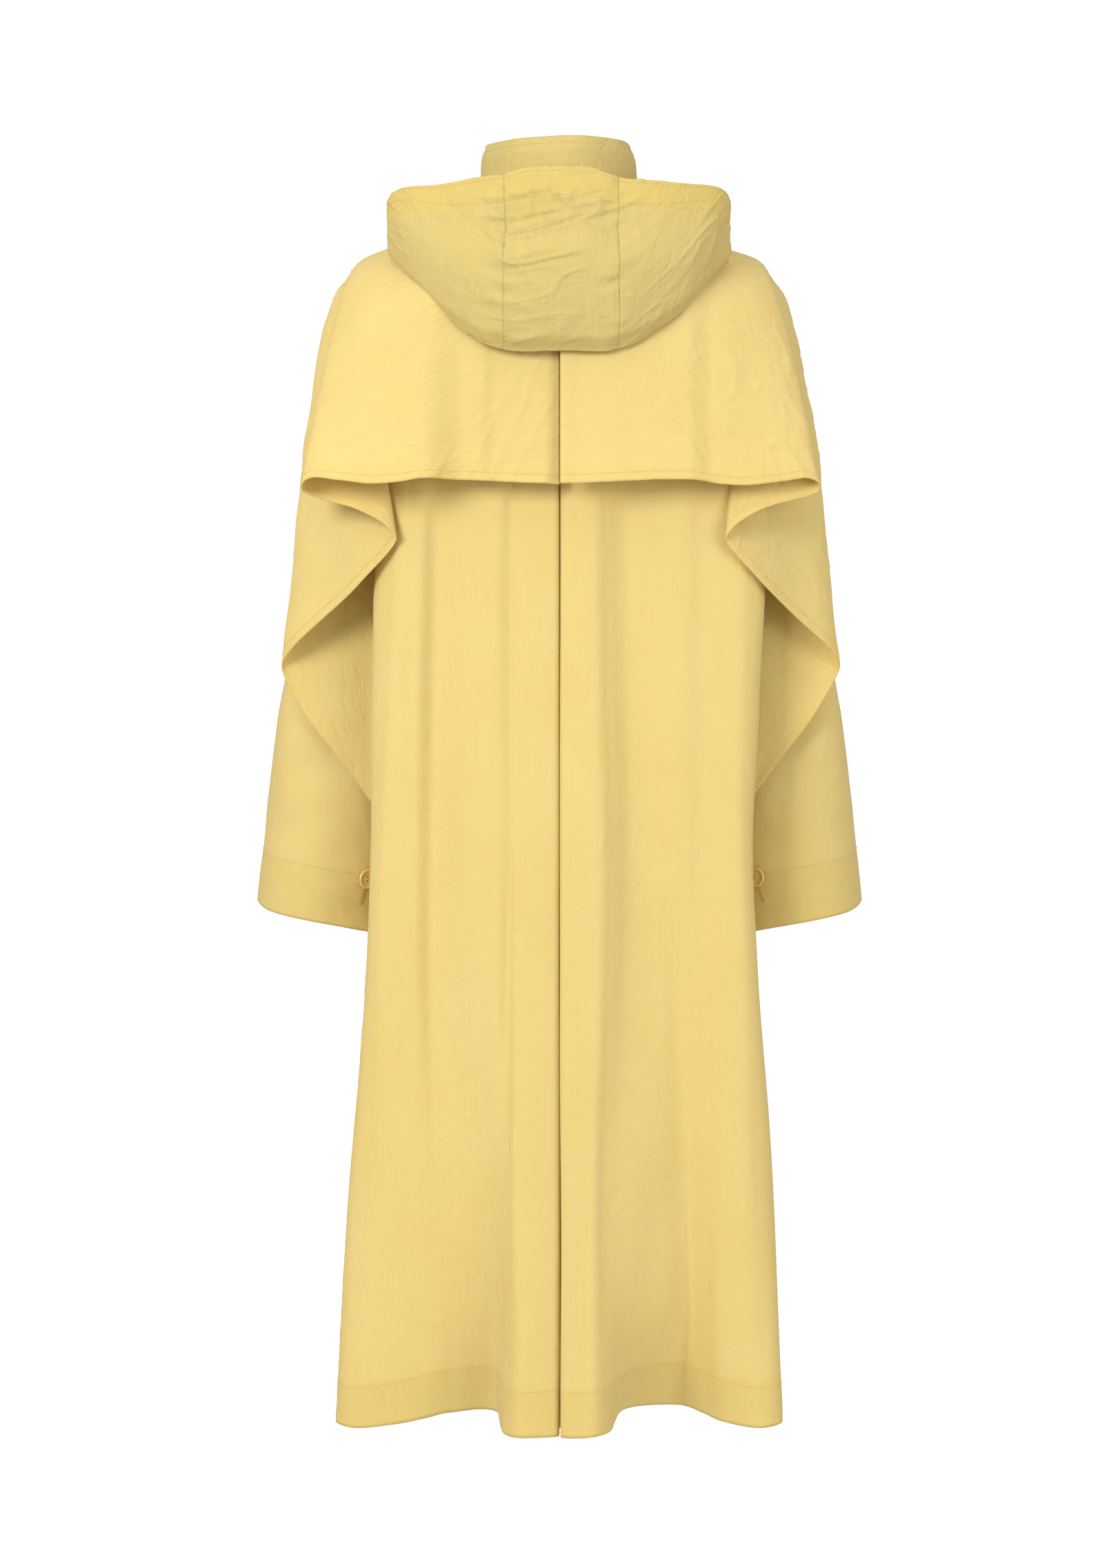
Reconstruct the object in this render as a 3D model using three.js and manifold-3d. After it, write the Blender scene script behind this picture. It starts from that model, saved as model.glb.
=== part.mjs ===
// A long hooded raincoat with a caped back, hanging from the loop inside its neck.
// Millimetres. +Z is up, +X is the wearer's right, +Y is the wearer's front.
// Heights are measured from the hem; the last lines move the origin to the hanging loop.
import * as THREE from "three";
import { mergeVertices } from "three/addons/utils/BufferGeometryUtils.js";
import Module from "manifold-3d";

const wasm = await Module();
wasm.setup();

// Cloth and fit
const cloth = 2.4; // thickness of a made-up layer: shell cloth with its lining or facing
const seamGap = 0.5; // clearance between two sewn pieces
const hemDepth = 55; // turned-up hem and its facing
const degrees = Math.PI / 180;

// Body
const chestHeight = 1060; // where the panels meet the shoulder yoke
const armpitHeight = 925;
const squareness = 2.8; // exponent of the body's cross-section
const sideNarrowing = 0.26; // how much narrower the front half is than the back corners
const bodySizes = [
  { height: 0, halfWidth: 207, behind: 165, ahead: 165 },
  { height: 250, halfWidth: 197, behind: 140, ahead: 150 },
  { height: 500, halfWidth: 187, behind: 120, ahead: 130 },
  { height: 860, halfWidth: 178, behind: 113, ahead: 113 },
  { height: 1060, halfWidth: 172, behind: 100, ahead: 92 },
];
const sideSeamAngle = 100; // degrees round from the centre back
const frontFoldAngle = 138; // line about which a front swings open
const frontLapAngle = 183.4; // how far a front reaches past the centre
const bodyRows = 10; // mesh rows up a panel
const pleatHalfWidth = 34;

// Shoulders and neck
const neckRadius = 79;
const neckCentreY = -15;
const neckEase = 2.1; // the collar stands this far inside the yoke's neck edge
const neckHeight = 1186;
const frontNeckDrop = 25;
const shoulderHalfWidth = 166;
const shoulderHeight = 1134;
const chestHalfWidth = 178;
const chestBehind = 100;
const chestAhead = 92;
const chestSquareness = 3.1;
const collarHeight = 64;
const collarLean = 3; // how much the stand collar closes towards its top
const collarGapAngle = 12; // half of the opening at the front

// Cape
const capeHem = 917;
const capeStand = 26; // how far the cape's hem stands off the back at the centre
const capeSideStand = 60; // and beside the arm
const drapeSteps = 3; // mesh steps from fold to fold

// Sleeves
const sleeveInner = 156;
const armholeInner = 152;
const sleeveSizes = [
  { height: 490, outer: 289, halfDepth: 75, centreY: 40 },
  { height: 610, outer: 278, halfDepth: 72, centreY: 37 },
  { height: 780, outer: 259, halfDepth: 66, centreY: 33 },
  { height: 925, outer: 243, halfDepth: 58, centreY: 30 },
  { height: 1066, outer: 215, halfDepth: 46, centreY: 14 },
  { height: 1108, outer: 196, halfDepth: 32, centreY: 4 },
  { height: 1128, outer: 181, halfDepth: 17, centreY: -3 },
];
const sleeveSteps = 8; // mesh steps round half a sleeve
const cuffFacing = 52;

// Hood, lying open on the back
const hoodHalfWidth = 166;
const hoodInnerHalfWidth = 138;
const hoodBottom = 1042;
const hoodBottomRise = 92;
const hoodRim = 1220;
const hoodRimFall = 30;
const hoodSeam = 57; // centre panel's half width
const hoodBelly = 48;
const hoodReach = 132;
const hoodSideDepth = 60;
const hoodClear = 8; // inner panel's distance from the cape, away from the neck

// Trims
const buttonRadius = 10;
const buttonThickness = 3.4;
const buttonRim = 2;
const buttonHoleRadius = 1.1;
const buttonHoleReach = 2.4;
const buttonHeight = 536;
const buttonAcross = 186;
const buttonholeLength = 26;
const buttonholeWidth = 5;
const trimThickness = 1;
const studRadius = 6;
const studThickness = 1.6;
const studClear = 1.4; // between a stud and its socket
const studCount = 4;
const firstStud = 320;
const studPitch = 200;
const loopHalfWidth = 24;
const loopTape = 1.6;
const loopWidth = 6;
const loopHeight = 1175; // underside of the loop, where a hook bears
const loopLeg = 20;

// How far the upper front stands off the lower one: its cloth and facing, the stud and the socket.
const lapRise = 2 * cloth + 3 * seamGap + 2 * studThickness + studClear;

const shell = finish("#e9ca76", 0.85);
const hoodCloth = finish("#e1c879", 0.85);
const innerCloth = finish("#d9b561", 0.9);
const buttonFinish = finish("#e3c368", 0.45);
const studFinish = finish("#b9b4a6", 0.35, 0.9);

const coat = new THREE.Group();

function finish(color, roughness, metalness = 0) {
  return new THREE.MeshStandardMaterial({ color, roughness, metalness });
}

function addMesh(name, geometry, material) {
  const mesh = new THREE.Mesh(geometry, material);
  mesh.name = name;
  coat.add(mesh);
  return mesh;
}

function mix(a, b, share) {
  return a + (b - a) * share;
}

function smooth(low, high, value) {
  const share = Math.min(1, Math.max(0, (value - low) / (high - low)));
  return share * share * (3 - 2 * share);
}

// Reads one size out of a list of stations, straight between two of them.
function sizeAt(stations, height, key) {
  let next = stations.findIndex((station) => station.height >= height);
  next = Math.max(1, next < 0 ? stations.length - 1 : next);
  const lower = stations[next - 1];
  const upper = stations[next];
  return mix(lower[key], upper[key], (height - lower.height) / (upper.height - lower.height));
}

// The outward normal of a surface, from the difference of close points.
function normalOf(surface, u, v, turns) {
  const step = 1e-4;
  const lowU = turns ? u - step : Math.max(0, u - step);
  const highU = turns ? u + step : Math.min(1, u + step);
  const along = surface(highU, v).sub(surface(lowU, v));
  const up = surface(u, Math.min(1, v + step)).sub(surface(u, Math.max(0, v - step)));
  return along.cross(up).normalize();
}

// A closed sheet of cloth: the surface, and the same surface moved in by its thickness.
// side is 1 where u runs anticlockwise seen from above, and -1 where it runs clockwise.
function clothSheet(surface, uSteps, vSteps, options = {}) {
  const { lift = 0, thickness = cloth, side = 1, turns = false } = options;
  const columns = turns ? uSteps : uSteps + 1;
  const positions = [];
  for (const depth of [lift, lift - thickness]) {
    for (let i = 0; i < columns; i += 1) {
      for (let j = 0; j <= vSteps; j += 1) {
        const normal = normalOf(surface, i / uSteps, j / vSteps, turns).multiplyScalar(side * depth);
        positions.push(...surface(i / uSteps, j / vSteps).add(normal).toArray());
      }
    }
  }
  const layer = columns * (vSteps + 1);
  const at = (i, j) => (i % columns) * (vSteps + 1) + j;
  const triangles = [];
  const quad = (a, b, c, d) => triangles.push([a, b, c], [a, c, d]);
  for (let i = 0; i < uSteps; i += 1) {
    for (let j = 0; j < vSteps; j += 1) {
      quad(at(i, j), at(i + 1, j), at(i + 1, j + 1), at(i, j + 1));
      quad(layer + at(i, j), layer + at(i, j + 1), layer + at(i + 1, j + 1), layer + at(i + 1, j));
    }
    quad(at(i, 0), layer + at(i, 0), layer + at(i + 1, 0), at(i + 1, 0));
    quad(at(i, vSteps), at(i + 1, vSteps), layer + at(i + 1, vSteps), layer + at(i, vSteps));
  }
  if (!turns) {
    for (let j = 0; j < vSteps; j += 1) {
      quad(at(0, j), at(0, j + 1), layer + at(0, j + 1), layer + at(0, j));
      quad(at(uSteps, j), layer + at(uSteps, j), layer + at(uSteps, j + 1), at(uSteps, j + 1));
    }
  }
  const order = side > 0 ? triangles : triangles.map(([a, b, c]) => [a, c, b]);
  const geometry = new THREE.BufferGeometry();
  geometry.setAttribute("position", new THREE.Float32BufferAttribute(positions, 3));
  geometry.setIndex(order.flat());
  return geometry;
}

// A stretch of a surface, between two values of u and two of v.
function stretch(surface, fromU, toU, fromV, toV) {
  return (u, v) => surface(mix(fromU, toU, u), mix(fromV, toV, v));
}

// Turns a piece modelled about the origin, facing +Z, to lie on a surface at a given lift.
function seat(mesh, surface, u, v, lift, side) {
  const normal = normalOf(surface, u, v, false).multiplyScalar(side);
  mesh.position.copy(surface(u, v)).addScaledVector(normal, lift);
  mesh.quaternion.setFromUnitVectors(new THREE.Vector3(0, 0, 1), normal);
}

function solidOf(geometry) {
  const bare = geometry.clone();
  bare.deleteAttribute("normal");
  bare.deleteAttribute("uv");
  const merged = mergeVertices(bare, 1e-4);
  const vertProperties = Float32Array.from(merged.attributes.position.array);
  const triVerts = Uint32Array.from(merged.index.array);
  return new wasm.Manifold(new wasm.Mesh({ numProp: 3, vertProperties, triVerts }));
}

function geometryOf(solid) {
  const mesh = solid.getMesh();
  const geometry = new THREE.BufferGeometry();
  geometry.setAttribute("position", new THREE.Float32BufferAttribute(mesh.vertProperties, 3));
  geometry.setIndex(Array.from(mesh.triVerts));
  return geometry;
}

// ---- Body: the cross-section is a rounded square, wide behind and narrower in front ----

function widestShare() {
  let widest = 0;
  for (let angle = 0; angle <= 180; angle += 1) {
    widest = Math.max(widest, sectionShare(angle).across);
  }
  return widest;
}

// Across and along shares of the cross-section at an angle from the centre back.
function sectionShare(angle) {
  const sine = Math.sin(angle * degrees);
  const cosine = Math.cos(angle * degrees);
  const power = 2 / squareness;
  const along = -Math.sign(cosine) * Math.abs(cosine) ** power;
  const narrow = 1 - sideNarrowing * smooth(-0.56, 0.24, along);
  return { across: Math.sign(sine) * Math.abs(sine) ** power * narrow, along };
}

const sectionWidest = widestShare();

function bodyPoint(angle, height) {
  const { across, along } = sectionShare(angle);
  const depth = sizeAt(bodySizes, height, along < 0 ? "behind" : "ahead");
  const halfWidth = sizeAt(bodySizes, height, "halfWidth");
  return new THREE.Vector3((across / sectionWidest) * halfWidth, along * depth, height);
}

// The side of the body stops at the armpit, and the armhole is open above it.
function bodyTop(angle) {
  const intoArmhole = smooth(58, 76, angle) * (1 - smooth(112, 130, angle));
  return mix(chestHeight, armpitHeight, intoArmhole);
}

function bodySurface(hand, fromAngle, toAngle) {
  return (u, v) => {
    const angle = mix(fromAngle, toAngle, u);
    return bodyPoint(hand * angle, v * bodyTop(angle));
  };
}

// Plain band round the bottom of a panel, on the same columns as the panel.
function hemSurface(hand, fromAngle, toAngle) {
  return (u, v) => bodyPoint(hand * mix(fromAngle, toAngle, u), mix(seamGap, hemDepth, v));
}

function addBody() {
  const edge = 0.0002 / degrees;
  const inside = -(cloth + seamGap);
  for (const [word, hand] of [["left", -1], ["right", 1]]) {
    const back = bodySurface(hand, edge, sideSeamAngle);
    const backHem = hemSurface(hand, edge, sideSeamAngle);
    const sideFront = bodySurface(hand, sideSeamAngle + 0.3, frontFoldAngle);
    addMesh(`back_${word}_panel`, clothSheet(back, 12, bodyRows, { side: hand }), shell);
    addMesh(`hem_facing_${word}`, clothSheet(backHem, 12, 1, { side: hand, lift: inside }), innerCloth);
    addMesh(`side_front_${word}`, clothSheet(sideFront, 6, 8, { side: hand }), shell);
  }
  const underlay = (u, v) => {
    const height = (chestHeight * mix(1, bodyRows - 1, v)) / bodyRows;
    const behind = sizeAt(bodySizes, height, "behind") - seamGap;
    return new THREE.Vector3(mix(-pleatHalfWidth, pleatHalfWidth, u), -behind, height);
  };
  const sheet = clothSheet(underlay, 2, bodyRows - 2, { lift: -(cloth + seamGap) });
  addMesh("pleat_underlay", sheet, innerCloth);
}

// ---- Fronts: the right front laps over the left one ----

function frontSurface(hand) {
  return (u, v) => {
    const angle = mix(frontFoldAngle + 0.3, frontLapAngle, u);
    const point = bodyPoint(hand * angle, mix(seamGap, chestHeight - seamGap, v));
    const reach = hand * point.x;
    if (hand > 0) {
      point.y += lapRise * (1 - smooth(24, 60, reach));
    }
    return point;
  };
}

function addFronts() {
  const discs = new THREE.CylinderGeometry(studRadius, studRadius, studThickness, 16).rotateX(90 * degrees);
  for (const [word, hand] of [["left", -1], ["right", 1]]) {
    const surface = frontSurface(hand);
    const facing = stretch(surface, 6 / 9, 1, 0, 1);
    addMesh(`front_${word}_panel`, clothSheet(surface, 9, 8, { side: hand }), shell);
    const lift = -(cloth + seamGap);
    addMesh(`front_${word}_facing`, clothSheet(facing, 3, 8, { side: hand, lift }), innerCloth);
    const centre = (180 - frontFoldAngle - 0.3) / (frontLapAngle - frontFoldAngle - 0.3);
    for (let k = 0; k < studCount; k += 1) {
      const share = (firstStud + k * studPitch) / chestHeight;
      const outward = seamGap + studThickness / 2;
      const inward = lift - cloth - outward;
      const name = hand < 0 ? `press_stud_${k + 1}` : `press_socket_${k + 1}`;
      const disc = addMesh(name, discs, studFinish);
      seat(disc, surface, centre, share, hand < 0 ? outward : inward, hand);
    }
  }
}

// ---- Yoke: the shoulders between the chest line and the neck ----

function chestShare(x) {
  return (1 - (Math.abs(x) / chestHalfWidth) ** chestSquareness) ** (1 / chestSquareness);
}

function shoulderLine(x) {
  const out = Math.max(0, (Math.abs(x) - neckRadius) / (shoulderHalfWidth - neckRadius));
  return mix(neckHeight, shoulderHeight, out);
}

function neckReach(x) {
  return Math.sqrt(Math.max(0, neckRadius ** 2 - x ** 2));
}

// Columns of the yoke: even angles round the neck, then even steps along the shoulder.
function yokeX(share) {
  if (share < 0.5) {
    return neckRadius * Math.sin(share * Math.PI);
  }
  return mix(neckRadius, shoulderHalfWidth, 2 * share - 1);
}

// How far back the yoke lies, from the chest (rise 0) over to the ridge of the shoulder (rise 1).
function backY(x, rise) {
  const ridge = neckCentreY - neckReach(x);
  return mix(ridge, -chestBehind * chestShare(x), Math.sqrt(1 - rise ** 2));
}

function riseAt(x, height) {
  return Math.min(1, Math.max(0, (height - chestHeight) / (shoulderLine(x) - chestHeight)));
}

function yokeBackSurface(u, v) {
  const side = u < 0.5 ? -1 : 1;
  const x = side * yokeX(Math.abs(2 * u - 1));
  return new THREE.Vector3(x, backY(x, v), mix(chestHeight + seamGap, shoulderLine(x), v));
}

function yokeFrontSurface(hand) {
  return (u, v) => {
    const x = Math.max(seamGap, yokeX(u));
    const dip = x < neckRadius ? frontNeckDrop * (1 - (x / neckRadius) ** 2) : 0;
    const top = shoulderLine(x) - dip;
    const ridge = neckCentreY + seamGap + neckReach(x);
    const y = mix(ridge, chestAhead * chestShare(x), Math.sqrt(1 - v ** 2));
    return new THREE.Vector3(hand * x, y, mix(chestHeight + seamGap, top, v));
  };
}

function addYoke() {
  addMesh("yoke_back", clothSheet(yokeBackSurface, 16, 6), shell);
  for (const [word, hand] of [["left", -1], ["right", 1]]) {
    addMesh(`yoke_front_${word}`, clothSheet(yokeFrontSurface(hand), 8, 6, { side: -hand }), shell);
  }
  const facing = stretch(yokeBackSurface, 5 / 16, 11 / 16, 3 / 6, 5 / 6);
  addMesh("neck_facing", clothSheet(facing, 6, 2, { lift: -(cloth + seamGap) }), innerCloth);
}

// ---- Collar: a stand round the neck, open at the front ----

function collarSurface(u, v) {
  const angle = mix(-180 + collarGapAngle, 180 - collarGapAngle, u) * degrees;
  const radius = neckRadius - neckEase - collarLean * v;
  const ahead = Math.max(0, -Math.cos(angle));
  const corner = 12 * smooth(140, 168, Math.abs(angle) / degrees);
  const base = neckHeight - 1 - frontNeckDrop * ahead;
  const top = base + collarHeight - corner;
  const x = radius * Math.sin(angle);
  return new THREE.Vector3(x, neckCentreY - radius * Math.cos(angle), mix(base, top, v));
}

function addCollar() {
  addMesh("collar_outer", clothSheet(collarSurface, 24, 2), hoodCloth);
  const lift = -(cloth + seamGap);
  addMesh("collar_lining", clothSheet(collarSurface, 24, 2, { lift }), innerCloth);
}

function addHangLoop() {
  const outer = loopHalfWidth;
  const inner = loopHalfWidth - loopTape;
  const outline = new THREE.Shape();
  outline.moveTo(-outer, -loopLeg);
  outline.lineTo(-inner, -loopLeg);
  outline.lineTo(-inner, -loopLeg / 2);
  outline.lineTo(-inner * 0.8, 0);
  outline.lineTo(inner * 0.8, 0);
  outline.lineTo(inner, -loopLeg / 2);
  outline.lineTo(inner, -loopLeg);
  outline.lineTo(outer, -loopLeg);
  outline.lineTo(outer, -loopLeg / 2 + loopTape / 2);
  outline.lineTo(outer * 0.8, loopTape);
  outline.lineTo(-outer * 0.8, loopTape);
  outline.lineTo(-outer, -loopLeg / 2 + loopTape / 2);
  const band = new THREE.ExtrudeGeometry(outline, { depth: loopWidth, bevelEnabled: false });
  band.rotateX(90 * degrees);
  const faceY = backY(outer, 5 / 6) + 2 * cloth + 2 * seamGap;
  band.translate(0, faceY + loopWidth + seamGap, loopHeight);
  addMesh("hang_loop", band, innerCloth);
  return faceY + seamGap + loopWidth / 2;
}

// ---- Cape: two back panels on the body, and a folded drape over each sleeve ----

// The cape follows the yoke and then hangs clear, more so towards its hem.
function capeY(x, height) {
  const hang = (shoulderLine(x) - height) / (shoulderLine(x) - capeHem);
  const stand = mix(capeStand, capeSideStand, (Math.abs(x) / shoulderHalfWidth) ** 3);
  return backY(x, riseAt(x, height)) - stand * hang ** 2;
}

const capeLowRows = 3;
const capeRows = 9;

function capeSurface(hand) {
  return (u, v) => {
    const x = Math.max(seamGap, yokeX(hand < 0 ? 1 - u : u));
    const row = v * capeRows;
    const low = mix(capeHem, chestHeight, row / capeLowRows);
    const high = mix(chestHeight, shoulderLine(x), (row - capeLowRows) / (capeRows - capeLowRows));
    const height = row < capeLowRows ? low : high;
    return new THREE.Vector3(hand * x, capeY(x, height), height);
  };
}

// Fold lines of the drape, from the shoulder down to the hem, across the arm and back.
const drapeFolds = [
  { top: [168.7, -45, 1122], hem: [168.7, -120, 917] },
  { top: [210, -58, 1092], hem: [240, -113, 908] },
  { top: [184, -54, 1086], hem: [162, -107, 861] },
  { top: [216, -50, 1080], hem: [267, -56, 738] },
  { top: [196, -44, 1072], hem: [192, -51, 613] },
];

function drapeSurface(hand) {
  const folds = drapeFolds.length - 1;
  return (u, v) => {
    const place = Math.min(u * folds, folds - 1e-9);
    const first = drapeFolds[Math.floor(place)];
    const second = drapeFolds[Math.floor(place) + 1];
    const share = place - Math.floor(place);
    const point = [0, 1, 2].map((axis) => {
      const hem = mix(first.hem[axis], second.hem[axis], share);
      const top = mix(first.top[axis], second.top[axis], share);
      return mix(hem, top, v);
    });
    return new THREE.Vector3(hand * point[0], point[1], point[2]);
  };
}

function addCape() {
  for (const [word, hand] of [["left", -1], ["right", 1]]) {
    const lift = cloth + seamGap;
    const back = clothSheet(capeSurface(hand), 8, capeRows, { lift });
    addMesh(`cape_back_${word}`, back, shell);
    const steps = drapeSteps * (drapeFolds.length - 1);
    addMesh(`cape_drape_${word}`, clothSheet(drapeSurface(hand), steps, 6, { side: hand }), shell);
  }
}

// ---- Sleeves: two half tubes, wider at the cuff, closed over the shoulder ----

function sleevePoint(hand, angle, height) {
  const outer = sizeAt(sleeveSizes, height, "outer");
  const lowShare = Math.min(1, (armpitHeight - height) / (armpitHeight - sleeveSizes[0].height));
  const inner = mix(armholeInner, sleeveInner, Math.max(0, lowShare));
  const halfWidth = (outer - inner) / 2;
  const x = inner + halfWidth + halfWidth * Math.cos(angle * degrees);
  const depth = sizeAt(sleeveSizes, height, "halfDepth") * Math.sin(angle * degrees);
  return new THREE.Vector3(hand * x, sizeAt(sleeveSizes, height, "centreY") + depth, height);
}

const cuffHeight = sleeveSizes[0].height;
const capHeight = sleeveSizes[sleeveSizes.length - 1].height;

function sleeveSurface(hand, fromAngle, toAngle, top) {
  return (u, v) => sleevePoint(hand, mix(fromAngle, toAngle, u), mix(cuffHeight, top, v));
}

function buttonGeometry() {
  const rim = buttonRadius - buttonRim;
  const dish = buttonThickness - 1;
  const profile = [
    [0, 0],
    [buttonRadius - 1, 0],
    [buttonRadius, 1],
    [buttonRadius, buttonThickness - 1],
    [buttonRadius - 0.8, buttonThickness],
    [rim + 0.5, buttonThickness],
    [rim - 0.7, dish],
    [0, dish],
  ];
  const points = profile.map(([radius, height]) => new THREE.Vector2(radius, height));
  let button = solidOf(new THREE.LatheGeometry(points, 24).rotateX(90 * degrees));
  for (const [x, y] of [[1, 1], [1, -1], [-1, 1], [-1, -1]]) {
    const hole = new THREE.CylinderGeometry(buttonHoleRadius, buttonHoleRadius, 4 * buttonThickness, 8);
    hole.rotateX(90 * degrees);
    hole.translate((x * buttonHoleReach) / Math.SQRT2, (y * buttonHoleReach) / Math.SQRT2, 0);
    button = button.subtract(solidOf(hole));
  }
  return geometryOf(button);
}

// The angle round the sleeve at which its back surface is a given distance out.
function sleeveAngle(across, height) {
  const low = Math.abs(sleevePoint(1, 180, height).x);
  const high = Math.abs(sleevePoint(1, 0, height).x);
  const share = (across - (low + high) / 2) / ((high - low) / 2);
  return -Math.acos(share) / degrees;
}

function addSleeves() {
  const button = buttonGeometry();
  for (const [word, hand] of [["left", -1], ["right", 1]]) {
    const outer = sleeveSurface(hand, -89.4, 89.4, capHeight);
    const under = sleeveSurface(hand, 90.6, 269.4, armpitHeight);
    addMesh(`sleeve_outer_${word}`, clothSheet(outer, sleeveSteps, 14, { side: hand }), shell);
    addMesh(`sleeve_under_${word}`, clothSheet(under, sleeveSteps, 6, { side: hand }), shell);

    const ring = (u, v) => {
      const angle = -90 + 360 * u;
      return sleevePoint(hand, angle, cuffHeight + mix(seamGap, cuffFacing, v));
    };
    const lift = -(cloth + seamGap);
    const facing = clothSheet(ring, 2 * sleeveSteps, 1, { side: hand, lift, turns: true });
    addMesh(`cuff_facing_${word}`, facing, innerCloth);

    // The buttonhole's binding starts under the button and runs down and outwards.
    const strip = (u, v) => {
      const height = buttonHeight - 4 - buttonholeLength * (1 - v);
      const across = buttonAcross + 6 * (1 - v) + buttonholeWidth * (u - 0.5);
      return sleevePoint(hand, sleeveAngle(across, height), height);
    };
    const trim = { side: hand, lift: trimThickness + seamGap / 2, thickness: trimThickness };
    addMesh(`cuff_buttonhole_${word}`, clothSheet(strip, 2, 3, trim), innerCloth);

    const place = (u, v) => {
      const height = buttonHeight + 10 * (v - 0.5);
      return sleevePoint(hand, sleeveAngle(buttonAcross + 10 * (u - 0.5), height), height);
    };
    const disc = addMesh(`cuff_button_${word}`, button, buttonFinish);
    seat(disc, place, 0.5, 0.5, trimThickness + seamGap / 2 + seamGap, hand);
  }
}

// ---- Hood: a pouch open at the top, three outer panels and an inner one ----

function hoodBottomAt(x) {
  return hoodBottom + hoodBottomRise * (Math.abs(x) / 160) ** 3;
}

function hoodOuterPoint(x, v) {
  const rim = hoodRim - hoodRimFall * (Math.abs(x) / hoodHalfWidth) ** 1.2;
  const centre = hoodReach + hoodBelly * Math.sin(Math.PI * (0.15 + 0.75 * v));
  const round = Math.sqrt(1 - (x / (hoodHalfWidth + 6)) ** 2);
  const y = -mix(hoodSideDepth, centre, round);
  return new THREE.Vector3(x, y, mix(hoodBottomAt(x), rim, v));
}

function hoodPanel(fromX, toX) {
  return (u, v) => hoodOuterPoint(mix(fromX, toX, u), v);
}

// The inner panel leaves the outer one's bottom edge, lies against the cape and ends at the neck.
function hoodInnerSurface(u, v) {
  const x = mix(-hoodInnerHalfWidth, hoodInnerHalfWidth, u);
  const fromNeck = smooth(25, 50, Math.abs(x));
  const top = mix(chestHeight, shoulderLine(x), mix(1, 0.8, fromNeck));
  const height = mix(hoodBottomAt(x) + cloth, top, v);
  const against = capeY(x, height) - cloth - hoodClear * fromNeck;
  const sewn = hoodOuterPoint(x, 0).y + cloth + seamGap;
  return new THREE.Vector3(x, mix(sewn, against - cloth, smooth(0, 0.4, v)), height);
}

function addHood() {
  const half = seamGap / 2;
  addMesh("hood_centre_panel", clothSheet(hoodPanel(-hoodSeam + half, hoodSeam - half), 6, 8), hoodCloth);
  const left = hoodPanel(-hoodHalfWidth, -hoodSeam - half);
  addMesh("hood_left_panel", clothSheet(left, 8, 8), hoodCloth);
  const right = hoodPanel(hoodSeam + half, hoodHalfWidth);
  addMesh("hood_right_panel", clothSheet(right, 8, 8), hoodCloth);
  addMesh("hood_inner_panel", clothSheet(hoodInnerSurface, 14, 8), innerCloth);
}

addBody();
addFronts();
addYoke();
addCollar();
const loopY = addHangLoop();
addCape();
addSleeves();
addHood();

const hangingCoat = new THREE.Group();
coat.position.set(0, -loopY, -loopHeight);
hangingCoat.add(coat);

export default hangingCoat;
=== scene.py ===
import math

import bpy
import numpy as np
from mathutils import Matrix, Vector


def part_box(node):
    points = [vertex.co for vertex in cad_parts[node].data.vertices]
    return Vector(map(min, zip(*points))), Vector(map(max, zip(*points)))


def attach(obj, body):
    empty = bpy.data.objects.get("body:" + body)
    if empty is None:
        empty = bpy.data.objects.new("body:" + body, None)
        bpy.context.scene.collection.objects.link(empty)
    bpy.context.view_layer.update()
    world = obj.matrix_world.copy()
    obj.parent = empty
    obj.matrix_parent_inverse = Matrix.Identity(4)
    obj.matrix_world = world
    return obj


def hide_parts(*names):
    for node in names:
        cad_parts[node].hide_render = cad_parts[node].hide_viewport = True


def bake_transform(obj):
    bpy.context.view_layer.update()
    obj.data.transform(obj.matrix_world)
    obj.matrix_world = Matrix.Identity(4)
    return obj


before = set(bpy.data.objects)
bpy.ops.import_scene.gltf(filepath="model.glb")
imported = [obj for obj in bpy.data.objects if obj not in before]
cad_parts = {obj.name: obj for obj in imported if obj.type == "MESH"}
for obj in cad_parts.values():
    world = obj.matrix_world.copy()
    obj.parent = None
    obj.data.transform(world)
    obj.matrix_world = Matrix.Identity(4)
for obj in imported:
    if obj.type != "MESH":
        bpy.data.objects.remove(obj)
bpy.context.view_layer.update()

# The coat's own coordinates are metres across, forward and up from the hem.
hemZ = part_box("back_left_panel")[0][2]
collarBack = 0.0919  # the collar's back lies this far behind the middle of the coat
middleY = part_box("collar_outer")[0][1] + collarBack
sides = (("left", -1), ("right", 1))


def inRow(points):
    # moves points from the coat's own coordinates to the frame's, by adding the hem's middle
    return points + np.array([0.0, middleY, hemZ])


def mix(a, b, share):
    # a at share 0, b at share 1, and straight between them
    return a + (b - a) * share


def smooth(low, high, value):
    # 0 below low, 1 above high, and a smooth S between them
    share = np.clip((value - low) / (high - low), 0, 1)
    return share * share * (3 - 2 * share)


def wavy(u, v, cell, stretch, seed):
    # smooth random values from -1 to 1, on cells as wide as cell and stretch times as long:
    # the values at a cell's four corners are mixed by the smooth S
    count = 64  # cells before the values repeat
    table = np.random.RandomState(seed).rand(count, count) * 2 - 1
    a = u / cell + 31.7  # both shifts keep the corners of cells off the cloth's edges
    b = v / (cell * stretch) + 17.3
    i = np.floor(a).astype(int)
    j = np.floor(b).astype(int)
    fa = smooth(0, 1, a - i)
    fb = smooth(0, 1, b - j)
    nextI = (i + 1) % count
    nextJ = (j + 1) % count
    i = i % count
    j = j % count
    low = mix(table[i, j], table[nextI, j], fa)
    high = mix(table[i, nextJ], table[nextI, nextJ], fa)
    return mix(low, high, fb)


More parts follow.
